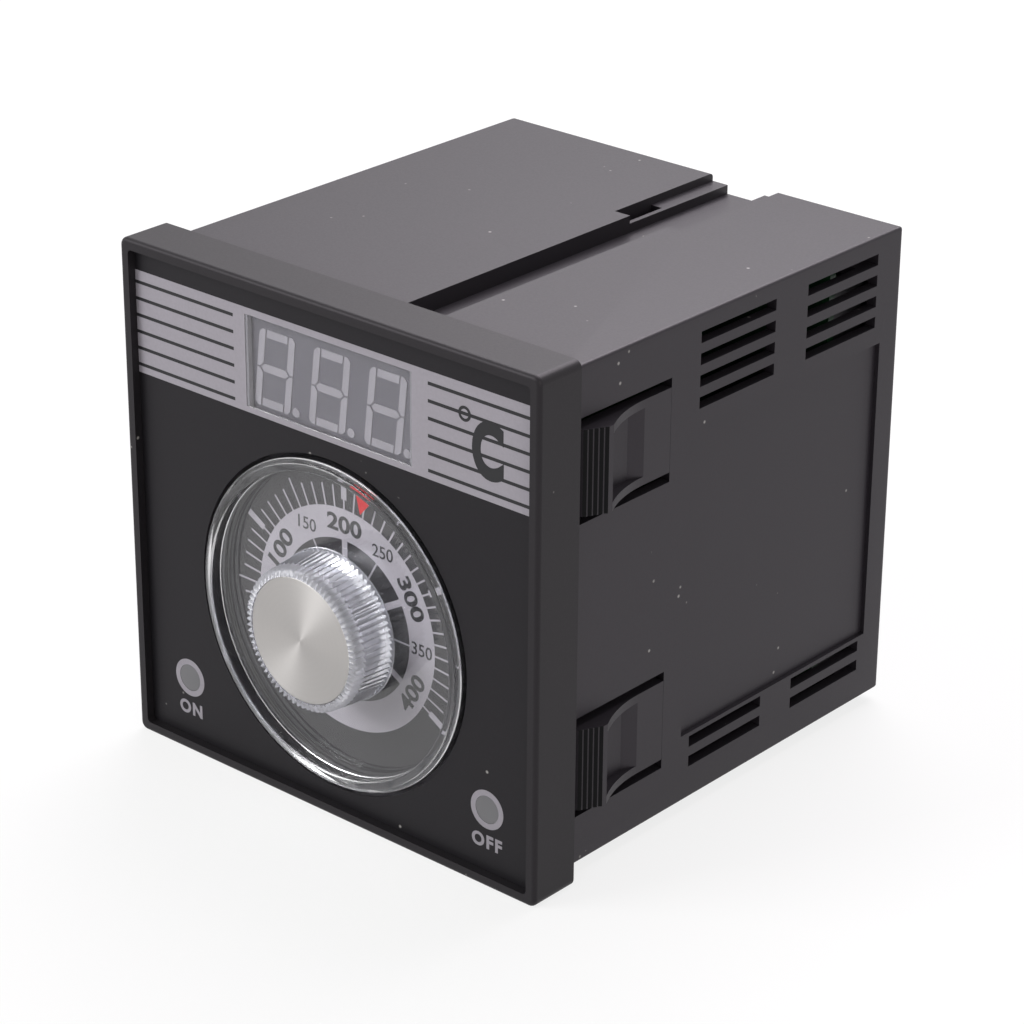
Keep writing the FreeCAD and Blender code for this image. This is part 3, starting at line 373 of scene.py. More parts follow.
def add_ring(name, outer, inner, x, y, z, steps=96):
    """Flat ring that faces the front."""
    clear_selection()
    bpy.ops.mesh.primitive_circle_add(
        vertices=steps, radius=outer, fill_type="NGON", location=(x, y, z), rotation=FACING_FRONT)
    piece = start_piece(name)
    edit(piece)
    cut_out((outer - inner) / math.cos(math.pi / steps))
    return piece


def add_word(name, body, height, x, y, z, turn=0.0, bold=0.0, width=None, space=1.0):
    """Flat letters that face the front, centred on a place and turned clockwise."""
    clear_selection()
    bpy.ops.object.text_add()
    word = bpy.context.object
    word.data.body = body
    word.data.align_x = "CENTER"
    word.data.offset = bold
    word.data.space_character = space
    word.data.resolution_u = 8
    bpy.ops.object.convert(target="MESH")
    word = bpy.context.object
    low, high = word.bound_box[0], word.bound_box[6]
    middle = (Vector(low) + Vector(high)) / 2
    tall = high[1] - low[1]
    stretch = width / (high[0] - low[0]) if width else height / tall
    word.data.transform(Matrix.Translation(-middle))
    word.scale = (stretch, height / tall, 1)
    word.rotation_euler = (math.pi / 2, turn, 0)
    word.location = (x, y, z)
    return start_piece(name)


def spin_section(name, points):
    """Draws (radius, y) points as a chain of edges, and spins it about the dial's axis."""
    clear_selection()
    radius, y = points[0]
    bpy.ops.mesh.primitive_plane_add(size=MM, location=(DIAL_X + radius, y, DIAL_Z))
    piece = start_piece(name)
    edit(piece)
    select_mesh()
    bpy.ops.mesh.merge(type="CENTER")
    for (r0, y0), (r1, y1) in zip(points, points[1:]):
        bpy.ops.mesh.extrude_vertices_move(TRANSFORM_OT_translate={"value": (r1 - r0, y1 - y0, 0)})
    select_mesh()
    bpy.ops.mesh.spin(steps=SPIN_STEPS, angle=2 * math.pi, center=DIAL_CENTRE, axis=(0, 1, 0))
    close_surface()
    return piece


def from_axis(place):
    return math.hypot(place.x - DIAL_X, place.z - DIAL_Z)


def near(value, wanted):
    return abs(value - wanted) < SAME_PLACE


def round_ring(piece, ring, y, radius, segments=4):
    """Rounds the edge ring of the given radius and y about the dial's axis."""
    pick(piece, lambda v: near(from_axis(v), ring) and near(v.y, y))
    bpy.ops.mesh.bevel(offset=radius, segments=segments, affect="EDGES")


# Finishes

def add_node(tree, kind, inputs=None, **settings):
    """Adds a node; each input gets a value, or the socket that feeds it."""
    node = tree.nodes.new(kind)
    for key, value in settings.items():
        setattr(node, key, value)
    for key, value in (inputs or {}).items():
        if isinstance(value, bpy.types.NodeSocket):
            tree.links.new(value, node.inputs[key])
        else:
            node.inputs[key].default_value = value
    return node


class Finish:
    """A material that is wired up node by node."""

    def __init__(self, name, base=None, roughness=0.5, **sockets):
        self.material = bpy.data.materials.new(name)
        self.material.use_nodes = True
        self.tree = self.material.node_tree
        self.shader = self.tree.nodes["Principled BSDF"]
        self.output = self.tree.nodes["Material Output"]
        self.place = self.add("ShaderNodeTexCoord").outputs["Object"]
        self.roughness = roughness
        self.shader.inputs["Roughness"].default_value = roughness
        if base is not None:
            self.shader.inputs["Base Color"].default_value = (*base, 1)
        for socket, value in sockets.items():
            self.shader.inputs[socket.replace("_", " ")].default_value = value

    def add(self, kind, inputs=None, **settings):
        return add_node(self.tree, kind, inputs, **settings)

    def link(self, source, target):
        self.tree.links.new(source, target)

    def noise(self, per_mm, detail, stretch=None):
        """Noise with about per_mm grains to the millimetre."""
        place = self.place
        if stretch is not None:
            place = self.add("ShaderNodeMapping", {"Vector": place, "Scale": stretch}).outputs["Vector"]
        grains = {"Vector": place, "Scale": per_mm / MM, "Detail": detail}
        return self.add("ShaderNodeTexNoise", grains).outputs["Fac"]

    def ranged(self, value, low, high, to_low, to_high):
        ends = {"Value": value, "From Min": low, "From Max": high, "To Min": to_low, "To Max": to_high}
        return self.add("ShaderNodeMapRange", ends).outputs["Result"]

    def blend(self, factor, first, second):
        """Colour mix of two sockets or colours."""
        sides = {"Factor": factor, 6: first, 7: second}
        for key in (6, 7):
            if not isinstance(sides[key], bpy.types.NodeSocket):
                sides[key] = (*sides[key], 1)
        return self.add("ShaderNodeMix", sides, data_type="RGBA").outputs[2]

    def mottled(self, tone, darker, lighter, per_mm, detail=3.0):
        """A tone that drifts between a darker and a lighter shade of itself."""
        return self.blend(self.noise(per_mm, detail), shaded(tone, darker), shaded(tone, lighter))

    def uneven(self, less, more, per_mm, detail=2.0, stretch=None):
        """Lets the roughness drift between a little less and a little more than was given."""
        drift = self.noise(per_mm, detail, stretch)
        self.rough(self.ranged(drift, NOISE_LOW, NOISE_HIGH, self.roughness - less, self.roughness + more))

    def specks(self, per_mm, share, core=0.05, edge=0.12, patch=0.37, blur=0.02):
        """Mask of sparse round specks, one to a cell, kept where a slower noise makes a patch."""
        cells = self.add("ShaderNodeTexVoronoi", {"Vector": self.place, "Scale": per_mm / MM})
        dots = self.ranged(cells.outputs["Distance"], core, edge, 1, 0)
        patches = self.noise(per_mm * patch, detail=1.0)
        chosen = self.ranged(patches, 1 - share, 1 - share + blur, 0, 1)
        return self.add("ShaderNodeMath", {0: dots, 1: chosen}, operation="MULTIPLY").outputs["Value"]

    def colour(self, socket):
        self.link(socket, self.shader.inputs["Base Color"])

    def rough(self, socket):
        self.link(socket, self.shader.inputs["Roughness"])

    def bump(self, socket, distance, strength):
        node = self.add("ShaderNodeBump", {"Height": socket, "Distance": distance, "Strength": strength})
        self.link(node.outputs["Normal"], self.shader.inputs["Normal"])

    def surface(self, socket):
        self.link(socket, self.output.inputs["Surface"])

    def let_lamps_through(self):
        """Rays from lamps pass straight through, so that what is behind the plastic is lit."""
        lamp_ray = self.add("ShaderNodeLightPath").outputs["Is Shadow Ray"]
        through = self.add("ShaderNodeBsdfTransparent").outputs["BSDF"]
        sides = {"Fac": lamp_ray, 1: self.shader.outputs["BSDF"], 2: through}
        self.surface(self.add("ShaderNodeMixShader", sides).outputs["Shader"])


def shaded(tone, factor):
    return tuple(min(1.0, part * factor) for part in tone)


def textured_plastic(name, tone, grain=3.2, depth=0.012 * MM, gloss=0.33, roughness=0.46, dust=0.38):
    """Moulded plastic with a spark-eroded grain, a slightly uneven sheen and a little dust."""
    finish = Finish(name, roughness=roughness, Specular_IOR_Level=gloss, Specular_Tint=SHEEN_TINT)
    plain = finish.mottled(tone, 0.86, 1.16, per_mm=2.6)
    finish.colour(finish.blend(finish.specks(per_mm=0.32, share=dust), plain, DUST_TONE))
    finish.uneven(0.015, 0.02, per_mm=2.2)
    finish.bump(finish.noise(grain, detail=2.0), depth, strength=0.55)
    return finish.material


def smooth_plastic(name, tone, roughness=0.35, gloss=0.5):
    """Plain moulded plastic with a slight unevenness."""
    finish = Finish(name, roughness=roughness, Specular_IOR_Level=gloss)
    finish.colour(finish.mottled(tone, 0.9, 1.1, per_mm=0.18))
    finish.uneven(0.06, 0.08, per_mm=0.4, detail=4.0)
    return finish.material


def printed_ink(name, tone, roughness=0.5, gloss=0.3):
    """Screen-printed ink with a fine pebble and slightly uneven cover."""
    finish = Finish(name, roughness=roughness, Specular_IOR_Level=gloss)
    finish.colour(finish.mottled(tone, 0.92, 1.08, per_mm=1.6, detail=4.0))
    finish.bump(finish.noise(5.0, detail=2.0), 0.004 * MM, strength=0.4)
    return finish.material


def clear_plastic(name, tint=(0.985, 0.99, 1.0), roughness=0.015, ior=1.5, ripple=0.0015 * MM, haze=0.0):
    """Clear moulded plastic with faint flow ripples and, where it is thick, some milky haze."""
    finish = Finish(name, tint, roughness, Transmission_Weight=1.0 - haze, IOR=ior)
    finish.bump(finish.noise(0.22, detail=2.0), ripple, strength=0.6)
    finish.let_lamps_through()
    return finish.material


def spun_metal(name, tone):
    """Aluminium turned on a lathe: fine rings and a highlight that fans out from the middle."""
    finish = Finish(name, tone, Metallic=1.0, Anisotropic=0.7, Anisotropic_Rotation=0.305)
    tangent = finish.add("ShaderNodeTangent", direction_type="RADIAL", axis="Y")
    finish.link(tangent.outputs["Tangent"], finish.shader.inputs["Tangent"])
    centre = finish.add("ShaderNodeMapping", {"Vector": finish.place, "Location": (-DIAL_X, 0, -DIAL_Z)})
    lathe = {"Vector": centre.outputs["Vector"], "Scale": 0.3 / MM, "Distortion": 2.0, "Detail": 3.0}
    rings = finish.add("ShaderNodeTexWave", lathe, wave_type="RINGS", rings_direction="Y")
    finish.rough(finish.ranged(rings.outputs["Fac"], 0, 1, to_low=0.49, to_high=0.51))
    return finish.material


def plain_metal(name, tone, roughness):
    """Drawn or plated metal with faint scratches."""
    finish = Finish(name, roughness=roughness, Metallic=1.0)
    finish.colour(finish.mottled(tone, 0.85, 1.05, per_mm=0.35, detail=4.0))
    finish.uneven(0.08, 0.1, per_mm=2.0, stretch=(1, 0.08, 1))
    return finish.material


def banded(name, first, second, along, per_mm, roughness=0.5, metallic=0.0):
    """Layers that show as fine stripes, such as core laminations or turns of wire."""
    finish = Finish(name, roughness=roughness, Metallic=metallic)
    layers = {"Vector": finish.place, "Scale": per_mm / MM, "Distortion": 0.4}
    wave = finish.add("ShaderNodeTexWave", layers, wave_type="BANDS", bands_direction=along)
    finish.colour(finish.blend(wave.outputs["Fac"], first, second))
    finish.bump(wave.outputs["Fac"], 0.05 * MM, strength=0.6)
    return finish.material


def circuit_board(name, shade=1.0):
    """Green board with a hint of its copper tracks under the lacquer; a shade below 1 darkens it as
    painted shade.
    """
    finish = Finish(name, roughness=0.32)
    grid = {"Vector": finish.place, "Scale": 0.25 / MM}
    cells = finish.add("ShaderNodeTexVoronoi", grid, distance="CHEBYCHEV", feature="F1")
    tracks = finish.ranged(cells.outputs["Distance"], low=0.40, high=0.44, to_low=0, to_high=1)
    finish.colour(finish.blend(tracks, shaded(LACQUER_GREEN, shade), shaded(TRACK_GREEN, shade)))
    return finish.material


def paint(finish, *names):
    """Puts a finish on CAD nodes."""
    for name in names:
        node = frame["nodes"][name]
        node.data.materials.clear()
        node.data.materials.append(finish)


# Operators, one for each piece or group of like pieces

class CONTROLLER_OT_housing(bpy.types.Operator):
    """Finish the rear cover, bezel, clips, face film, scale plate, display, window and lamp lenses."""

    bl_idname = "controller.housing"
    bl_label = "Housing finishes"

    # Least parts of a rib slope's normal that point to the front and to the side
    to_front = 0.5
    to_side = 0.6

    def paint_rib_shade(self, finish, names):
        """Paints shade on the slopes between a clip's ribs, which lean towards the front, with a second
        near-black finish.
        """
        for name in names:
            mesh = frame["nodes"][name].data
            mesh.materials.append(finish)
            for face in mesh.polygons:
                if face.normal.y < -self.to_front and abs(face.normal.x) > self.to_side:
                    face.material_index = 1

    def execute(self, context):
        tones = sizes("finish")
        paint(textured_plastic("cover_black", tones.housing), "rear_cover")
        paint(textured_plastic("bezel_black", tones.bezel, gloss=0.24, dust=0.34), "bezel")
        clips = ("clip_upper_right", "clip_lower_right", "clip_upper_left", "clip_lower_left")
        paint(textured_plastic("clip_black", tones.housing, dust=0.2), *clips)
        # Painted shade: the slopes between the clips' ribs get a near-black finish in place of the shade
        # in the grooves
        self.paint_rib_shade(smooth_plastic("rib_black", tones.rib_shade, roughness=0.4, gloss=0.1), clips)
        film = textured_plastic(
            "film_black", tones.film, grain=5.0, depth=0.003 * MM, gloss=0.17, roughness=0.42, dust=0.36)
        paint(film, "face_overlay")
        plate = textured_plastic(
            "scale_black", tones.film, grain=5.0, depth=0.002 * MM, gloss=0.3, roughness=0.45, dust=0.1)
        paint(plate, "scale_plate")
        paint(smooth_plastic("display_grey", tones.display, roughness=0.5), "display_module")
        paint(smooth_plastic("segment_white", tones.segment, roughness=0.4), "display_segments")
        paint(clear_plastic("window_film", roughness=0.12, ior=1.35, ripple=0.0), "display_window")
        paint(smooth_plastic("lens_grey", tones.lens), "on_lamp_lens", "off_lamp_lens")
        return {"FINISHED"}


class CONTROLLER_OT_case_body(bpy.types.Operator):
    """Draw the case's long edges out to the tight rounding of the moulding."""

    bl_idname = "controller.case_body"
    bl_label = "Case body"

    def execute(self, context):
        case = sizes("case")
        low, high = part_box("case_shell")
        reach = case.packed_round + SAME_PLACE
        front = BEZEL_HIGH.y - SAME_PLACE
        tighter = case.edge_round / case.packed_round
        body = copy_node("case_shell", "case_body")
        bpy.ops.mesh.bisect(plane_co=BEZEL_HIGH, plane_no=(0, 1, 0))
        for x in (low.x, high.x):
            for z in (low.z, high.z):
                pick(body, lambda v: v.y > front and abs(v.x - x) < reach and abs(v.z - z) < reach)
                bpy.ops.transform.resize(value=(tighter, 1, tighter), center_override=(x, 0, z))
        leave_edit(sharp=30)
        dress(body, textured_plastic("case_black", sizes("finish").housing), "case")
        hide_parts("case_shell")
        return {"FINISHED"}


class CONTROLLER_OT_inside(bpy.types.Operator):
    """Finish the boards and parts inside the case and the terminals at its back."""

    bl_idname = "controller.inside"
    bl_label = "Inner finishes"

    # Name, tone and roughness of each plain finish, and the nodes that take it
    metals = (
        ("plated_steel", (0.62, 0.61, 0.58), 0.3, (
            "front_board_screws", "terminal_board_screws", "terminal_screws", "terminal_clamps", "pot_nut",
            "pot_washer")),
        ("terminal_brass", (0.72, 0.55, 0.28), 0.3, ("terminal_plates",)),
        ("shaft_aluminium", (0.75, 0.75, 0.74), 0.3, ("pot_shaft",)),
        ("pot_can", (0.55, 0.54, 0.50), 0.4, ("pot_body",)),
    )
    plastics = (
        ("chip_black", (0.02, 0.02, 0.022), 0.5, ("control_chips", "rectifier_diodes")),
        ("relay_blue", (0.02, 0.10, 0.36), 0.35, ("relay",)),
        ("trimmer_blue", (0.02, 0.14, 0.45), 0.4, ("trimmers",)),
        ("capacitor_sleeve", (0.02, 0.025, 0.06), 0.25, ("filter_capacitor", "small_capacitors")),
    )

    def execute(self, context):
        paint(circuit_board("board_green"), "main_board", "terminal_board")
        # Painted shade: the front board, seen only through the vents, is darkened to near black in place
        # of the shade inside the case
        paint(circuit_board("front_board_green", shade=0.15), "front_board")
        for make, table in ((plain_metal, self.metals), (smooth_plastic, self.plastics)):
            for name, tone, roughness, nodes in table:
                paint(make(name, tone, roughness), *nodes)
        block = textured_plastic(
            "terminal_black", (0.018, 0.018, 0.019), grain=4.0, depth=0.006 * MM, gloss=0.5, roughness=0.4,
            dust=0.15)
        paint(block, "terminal_block_left", "terminal_block_right", "board_header")
        iron = banded(
            "core_iron", (0.22, 0.21, 0.20), (0.10, 0.09, 0.085), "Y", per_mm=0.35, roughness=0.45,
            metallic=0.8)
        paint(iron, "transformer_core")
        tape = banded(
            "coil_tape", (0.62, 0.42, 0.05), (0.50, 0.32, 0.03), "Z", per_mm=0.12, roughness=0.4)
        paint(tape, "transformer_coil")
        paint(clear_plastic("led_clear", (0.85, 0.85, 0.85), roughness=0.1), "indicator_leds")
        return {"FINISHED"}


class CONTROLLER_OT_face_band(bpy.types.Operator):
    """Print the pale band across the face, its two groups of lines and the degree sign."""

    bl_idname = "controller.face_band"
    bl_label = "Face band"

    # Inner radius of the degree ring as a share of its outer one
    degree_hole = 0.62

    def execute(self, context):
        face = sizes("print")
        tones = sizes("finish")
        grey = printed_ink("ink_grey", tones.ink_grey)
        black = printed_ink("ink_black", tones.ink_black)
        x0 = BEZEL_LOW.x + face.band_side
        x1 = BEZEL_HIGH.x - face.band_side
        z0 = WINDOW_LOW.z - face.band_under
        z1 = WINDOW_HIGH.z + face.band_over
        band = add_panel("face_band", x0, x1, z0, z1, FILM_Y)
        edit(band)
        for normal in ((1, 0, 0), (0, 0, 1)):
            for corner in (WINDOW_LOW, WINDOW_HIGH):
                select_mesh()
                bpy.ops.mesh.bisect(plane_co=corner, plane_no=normal)
        middle = (WINDOW_LOW + WINDOW_HIGH) / 2
        pick(band, lambda c: near(c.x, middle.x) and near(c.z, middle.z), "FACE")
        bpy.ops.mesh.delete(type="FACE")
        print_on(band, grey)

        y_line = FILM_Y - face.ink
        for name, left, right in (
            ("band_lines_left", x0, WINDOW_LOW.x - face.line_gap_left),
            ("band_lines_right", WINDOW_HIGH.x + face.line_gap_right, x1),
        ):
            top = z1 - face.line_first + face.line_width / 2
            lines = add_panel(name, left, right, top - face.line_width, top, y_line)
            row = lines.modifiers.new("row", "ARRAY")
            row.use_relative_offset = False
            row.use_constant_offset = True
            row.constant_offset_displace = (0, 0, -face.line_pitch)
            row.count = face.line_count
            bpy.ops.object.modifier_apply(modifier=row.name)
            print_on(lines, black)

        x = DIAL_X + face.sign_x
        y = y_line - face.ink
        z = FACE_Z + face.sign_z
        letter = add_word(
            "degree_letter", "C", face.sign_height, x, y, z, bold=0.045, width=face.sign_width)
        shift = face.degree_shift
        hole = face.degree_radius * self.degree_hole
        ring = add_ring("degree_ring", face.degree_radius, hole, x - shift, y, z + shift, steps=48)
        print_on(join([letter, ring], "degree_sign"), black)
        return {"FINISHED"}


class CONTROLLER_OT_display_lining(bpy.types.Operator):
    """Line the opening between the face film and the display with grey sheet, whose lighter grey is
    painted light over the shade in the opening.
    """

    bl_idname = "controller.display_lining"
    bl_label = "Display lining"

    def execute(self, context):
        thick = sizes("print").lining
        low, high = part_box("display_module")
        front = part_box("face_overlay")[1].y
        lining = add_panel("display_lining", low.x, high.x, low.z, high.z, front)
        edit(lining)
        cut_out(thick)
        select_mesh()
        bpy.ops.mesh.extrude_region_move(TRANSFORM_OT_translate={"value": (0, low.y - front, 0)})
        finish_edit()
        parts = [lining]
        for x0, x1 in ((WINDOW_LOW.x, low.x + thick), (high.x - thick, WINDOW_HIGH.x)):
            strip = add_panel("lining_strip", x0, x1, WINDOW_LOW.z, WINDOW_HIGH.z, front)
            parts.append(thicken(strip, sizes("print").ink))
        lining = join(parts, "display_lining")
        # The lining's lighter grey is painted light that hides the shade in the opening and beside the
        # module
        finish = smooth_plastic("lining_grey", sizes("finish").lining, roughness=0.5)
        dress(lining, finish, "case")
        return {"FINISHED"}


class CONTROLLER_OT_lamp_marks(bpy.types.Operator):
    """Print the ring round each lamp and the word under it."""

    bl_idname = "controller.lamp_marks"
    bl_label = "Lamp marks"

    def execute(self, context):
        face = sizes("print")
        grey = printed_ink("ink_lamp", sizes("finish").ink_grey)
        for lens, body in (("on_lamp_lens", "ON"), ("off_lamp_lens", "OFF")):
            low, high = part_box(lens)
            middle = (low + high) / 2
            ring = add_ring("lamp_ring", face.lamp_ring, face.lamp_hole, middle.x, FILM_Y, middle.z)
            z_word = middle.z - face.word_drop
            word = add_word(
                "lamp_word", body, face.word_height, middle.x, FILM_Y, z_word, bold=0.04,
                space=face.word_space)
            print_on(join([ring, word], lens.replace("lens", "marks")), grey)
        return {"FINISHED"}


class CONTROLLER_OT_scale(bpy.types.Operator):
    """Print the number ring, ticks and numbers on the plate behind the clear dial."""

    bl_idname = "controller.scale"
    bl_label = "Scale print"

    def ticks(self, name, start, end, width, turns):
        """Draws an upright tick, and a copy turned clockwise about the dial's axis to each angle."""
        upright = add_panel(
            name, DIAL_X - width / 2, DIAL_X + width / 2, DIAL_Z + start, DIAL_Z + end, SCALE_Y)
        centre = (DIAL_X, SCALE_Y, DIAL_Z)
        copies = []
        for turn in turns:
            choose(upright)
            bpy.ops.object.duplicate()
            tick = bpy.context.object
            edit(tick)
            select_mesh()
            bpy.ops.transform.rotate(
                value=turn, orient_axis="Y", orient_type="GLOBAL", center_override=centre)
            copies.append(tick)
        bpy.data.objects.remove(upright)
        return copies

    def execute(self, context):
        scale = sizes("scale")
        tones = sizes("finish")
        grey = printed_ink("ink_scale", tones.ink_grey, roughness=0.55)
        black = printed_ink("ink_number", tones.ink_black, roughness=0.55)
        ring = add_ring(
            "number_ring", scale.ring_outer, scale.ring_inner, DIAL_X, SCALE_Y, DIAL_Z, steps=SPIN_STEPS)
        print_on(ring, grey)

        steps = range(10 * scale.hundreds + 1)
        turns = [scale.first_angle + scale.step_angle * ten / 10 for ten in steps]
        hundreds = turns[::10]
        fifties = turns[5::10]
        tens = [turns[ten] for ten in steps if ten % 5]
        thin = scale.tick_width
        thick = scale.bar_width
        ticks = self.ticks("bar", scale.bar_start, scale.bar_end, thick, hundreds)
        ticks += self.ticks("stem", scale.ring_outer, scale.bar_start, thin, hundreds)
        ticks += self.ticks("fifty", scale.ring_outer, scale.half_end, thin, fifties)
        ticks += self.ticks("ten", scale.ring_outer, scale.tick_end, thin, tens)
        spokes = self.ticks("spoke", scale.spoke_start, scale.ring_inner, thick, hundreds)
        spokes += self.ticks("thin_spoke", scale.spoke_start, scale.ring_inner, thin, fifties)
        for name, pieces in (("scale_ticks", ticks), ("scale_spokes", spokes)):
            print_on(join(pieces, name), grey)

        numbers = []
        y = SCALE_Y - sizes("print").ink
        for fifty in range(2 * scale.hundreds + 1):
            turn = scale.first_angle + scale.step_angle * fifty / 2
            x = DIAL_X + scale.number_radius * math.sin(turn)
            z = DIAL_Z + scale.number_radius * math.cos(turn)
            text = str(50 * fifty)
            if fifty % 2:
                number = add_word("number", text, scale.minor_height, x, y, z, bold=0.008)
            else:
                lean = turn if abs(turn) < math.pi / 2 else turn + math.pi
                wide = scale.major_width * len(text)
                number = add_word("number", text, scale.major_height, x, y, z, lean, bold=0.03, width=wide)
            numbers.append(number)
        print_on(join(numbers, "scale_numbers"), black)
        return {"FINISHED"}


class CONTROLLER_OT_dial_cup(bpy.types.Operator):
    """Spin the clear cup that turns in the bezel's well."""

    bl_idname = "controller.dial_cup"
    bl_label = "Clear cup"

    def execute(self, context):
        dial = sizes("dial")
        outer = (CUP_HIGH.x - CUP_LOW.x) / 2
        inner = outer - dial.cup_wall
        rim = CUP_LOW.y
        back = CUP_HIGH.y - dial.air
        floor = CUP_HIGH.y - dial.cup_floor
        hub = dial.hub_radius
        crest = outer - dial.step_width
        step = rim + dial.step_depth
        section = [
            (hub, floor), (inner, floor), (inner, rim), (crest, rim), (crest, step), (outer, step),
            (outer, back), (inner, back), (hub, back), (hub, floor),
        ]
        cup = spin_section("dial_cup", section)
        for ring, y in ((inner, floor), (inner, rim), (crest, rim), (outer, step), (outer, back)):
            round_ring(cup, ring, y, dial.cup_round)
        finish_edit(sharp=40)
        dress(cup, clear_plastic("cup_clear", ior=1.42), "dial")
        wall = clear_plastic("cup_frost", RIM_TINT, roughness=0.12, haze=0.03)
        second_finish(
            cup, wall, lambda c: c.y > step + dial.cup_round and from_axis(c) > inner + dial.cup_round)
        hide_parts("dial_disc")
        return {"FINISHED"}


class CONTROLLER_OT_pointer(bpy.types.Operator):
    """Set the red pointer close to the cup's rim."""

    bl_idname = "controller.pointer"
    bl_label = "Pointer"

    def execute(self, context):
        low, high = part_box("dial_pointer")
        out = (low + high) / 2 - Vector(DIAL_CENTRE)
        out.y = 0
        pointer = copy_node("dial_pointer", "red_pointer")
        bpy.ops.transform.translate(value=out.normalized() * sizes("dial").pointer_shift)
        finish_edit()
        finish = smooth_plastic("pointer_red", sizes("finish").pointer, roughness=0.5, gloss=0.05)
        dress(pointer, finish, "dial")
        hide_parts("dial_pointer")
        return {"FINISHED"}


class CONTROLLER_OT_fluted_knob(bpy.types.Operator):
    """Model the clear fluted knob: a fluted ring drawn out to its bevel, cap seat and hollow back."""

    bl_idname = "controller.fluted_knob"
    bl_label = "Fluted knob"

    # Points across a flute, how sharp its crests are, and the steps in degrees over the bevel
    per_flute = 8
    sharpness = 1.5
    bevel_steps = (30, 60, 90)

    def widen(self, factor):
        """Scales the selected points about the dial's axis."""
        bpy.ops.transform.resize(value=(factor, 1, factor), center_override=DIAL_CENTRE)

    def grow(self, dy, factor=1):
        """Draws the selected ring on along Y and scales it."""
        bpy.ops.mesh.extrude_edges_move(TRANSFORM_OT_translate={"value": (0, dy, 0)})
        self.widen(factor)

    def flatten(self, y):
        """Puts the whole of the selected ring at one place along Y."""
        bpy.ops.transform.resize(value=(1, 0, 1), center_override=DIAL_CENTRE)
        bpy.ops.transform.translate(value=(0, y, 0))

    def select_points(self, knob, chosen):
        mesh = bmesh.from_edit_mesh(knob.data)
        for vert in mesh.verts:
            vert.select_set(vert.index in chosen)
        mesh.select_flush(True)
        bmesh.update_edit_mesh(knob.data)

    def flute(self, knob, radius, depth, lean=0.0):
        """Gives the selected ring a crest radius and flutes, which sink inwards or lean to the back."""
        points = sizes("dial").flutes * self.per_flute
        rows = [{} for _ in range(self.per_flute)]
        for vert in bmesh.from_edit_mesh(knob.data).verts:
            if vert.select:
                turn = math.atan2(vert.co.x - DIAL_X, vert.co.z - DIAL_Z) / math.tau * points
                rows[round(turn) % self.per_flute][vert.index] = from_axis(vert.co)
        for step, row in enumerate(rows):
            sunk = depth * math.sin(math.pi * step / self.per_flute) ** self.sharpness
            self.select_points(knob, row)
            self.widen((radius - sunk * math.cos(lean)) / row[max(row)])
            bpy.ops.transform.translate(value=(0, sunk * math.sin(lean), 0))
        self.select_points(knob, {point for row in rows for point in row})

    def execute(self, context):
        dial = sizes("dial")
        base = (GRIP_HIGH.x - GRIP_LOW.x) / 2
        y_base = CUP_HIGH.y - dial.cup_floor - dial.air
        y_front = GRIP_LOW.y
        y_seat = CAP_HIGH.y + dial.air
        y_hollow = y_seat + dial.knob_front
        seat = (CAP_HIGH.x - CAP_LOW.x) / 2 + dial.air
        hollow = base - dial.knob_wall
        bevel = dial.knob_bevel
        y_collar = y_base - dial.collar
        y_frost = y_front + dial.frost_depth
        y_shoulder = y_front + bevel
        neck = base - dial.flute_depth / 4
        shoulder = neck - dial.knob_draft
        frost = neck + (shoulder - neck) * (y_frost - y_collar) / (y_shoulder - y_collar)
        lip = shoulder - bevel

        clear_selection()
        bpy.ops.mesh.primitive_circle_add(
            vertices=dial.flutes * self.per_flute, radius=base, location=(DIAL_X, y_base, DIAL_Z),
            rotation=FACING_FRONT)
        knob = start_piece("fluted_knob")
        edit(knob)
        select_mesh()
        self.grow(-dial.collar)
        for dy, radius in ((0, neck), (y_frost - y_collar, frost), (y_shoulder - y_frost, shoulder)):
            self.grow(dy)
            self.flute(knob, radius, dial.flute_depth)
        for turn in self.bevel_steps:
            lean = math.radians(turn)
            depth = dial.flute_depth + (dial.lip_depth - dial.flute_depth) * turn / self.bevel_steps[-1]
            self.grow(0)
            self.flatten(y_front + bevel * (1 - math.sin(lean)))
            self.flute(knob, lip + bevel * math.cos(lean), depth, lean)
        self.grow(0)
        self.flatten(y_front)
        self.flute(knob, seat, 0)
        self.grow(y_seat - y_front)
        bpy.ops.mesh.edge_face_add()

        pick(knob, lambda v: near(v.y, y_base))
        self.grow(0, hollow / base)
        self.grow(y_hollow - y_base)
        self.grow(0, dial.hub_radius / hollow)
        self.grow(y_base - y_hollow)
        bpy.ops.mesh.edge_face_add()
        finish_edit(sharp=30)
        clear = clear_plastic("knob_clear", KNOB_TINT, roughness=0.04, haze=0.11)
        dress(knob, clear, "dial")
        frosted = clear_plastic("knob_frost", KNOB_TINT, roughness=0.10, haze=0.32)
        second_finish(knob, frosted, lambda c: c.y < y_frost and from_axis(c) > seat)
        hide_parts("knob_grip")
        return {"FINISHED"}


class CONTROLLER_OT_spun_cap(bpy.types.Operator):
    """Spin the aluminium cap that is let into the knob's front."""

    bl_idname = "controller.spun_cap"
    bl_label = "Spun cap"

    def execute(self, context):
        radius = (CAP_HIGH.x - CAP_LOW.x) / 2
        front = CAP_LOW.y
        back = CAP_HIGH.y
        edge = (back - front) / 2
        section = [(0, front), (radius, front), (radius, back), (0, back)]
        cap = spin_section("spun_cap", section)
        round_ring(cap, radius, front, edge)
        finish_edit(sharp=40)
        dress(cap, spun_metal("cap_aluminium", sizes("finish").cap), "dial")
        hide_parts("knob_cap")
        return {"FINISHED"}


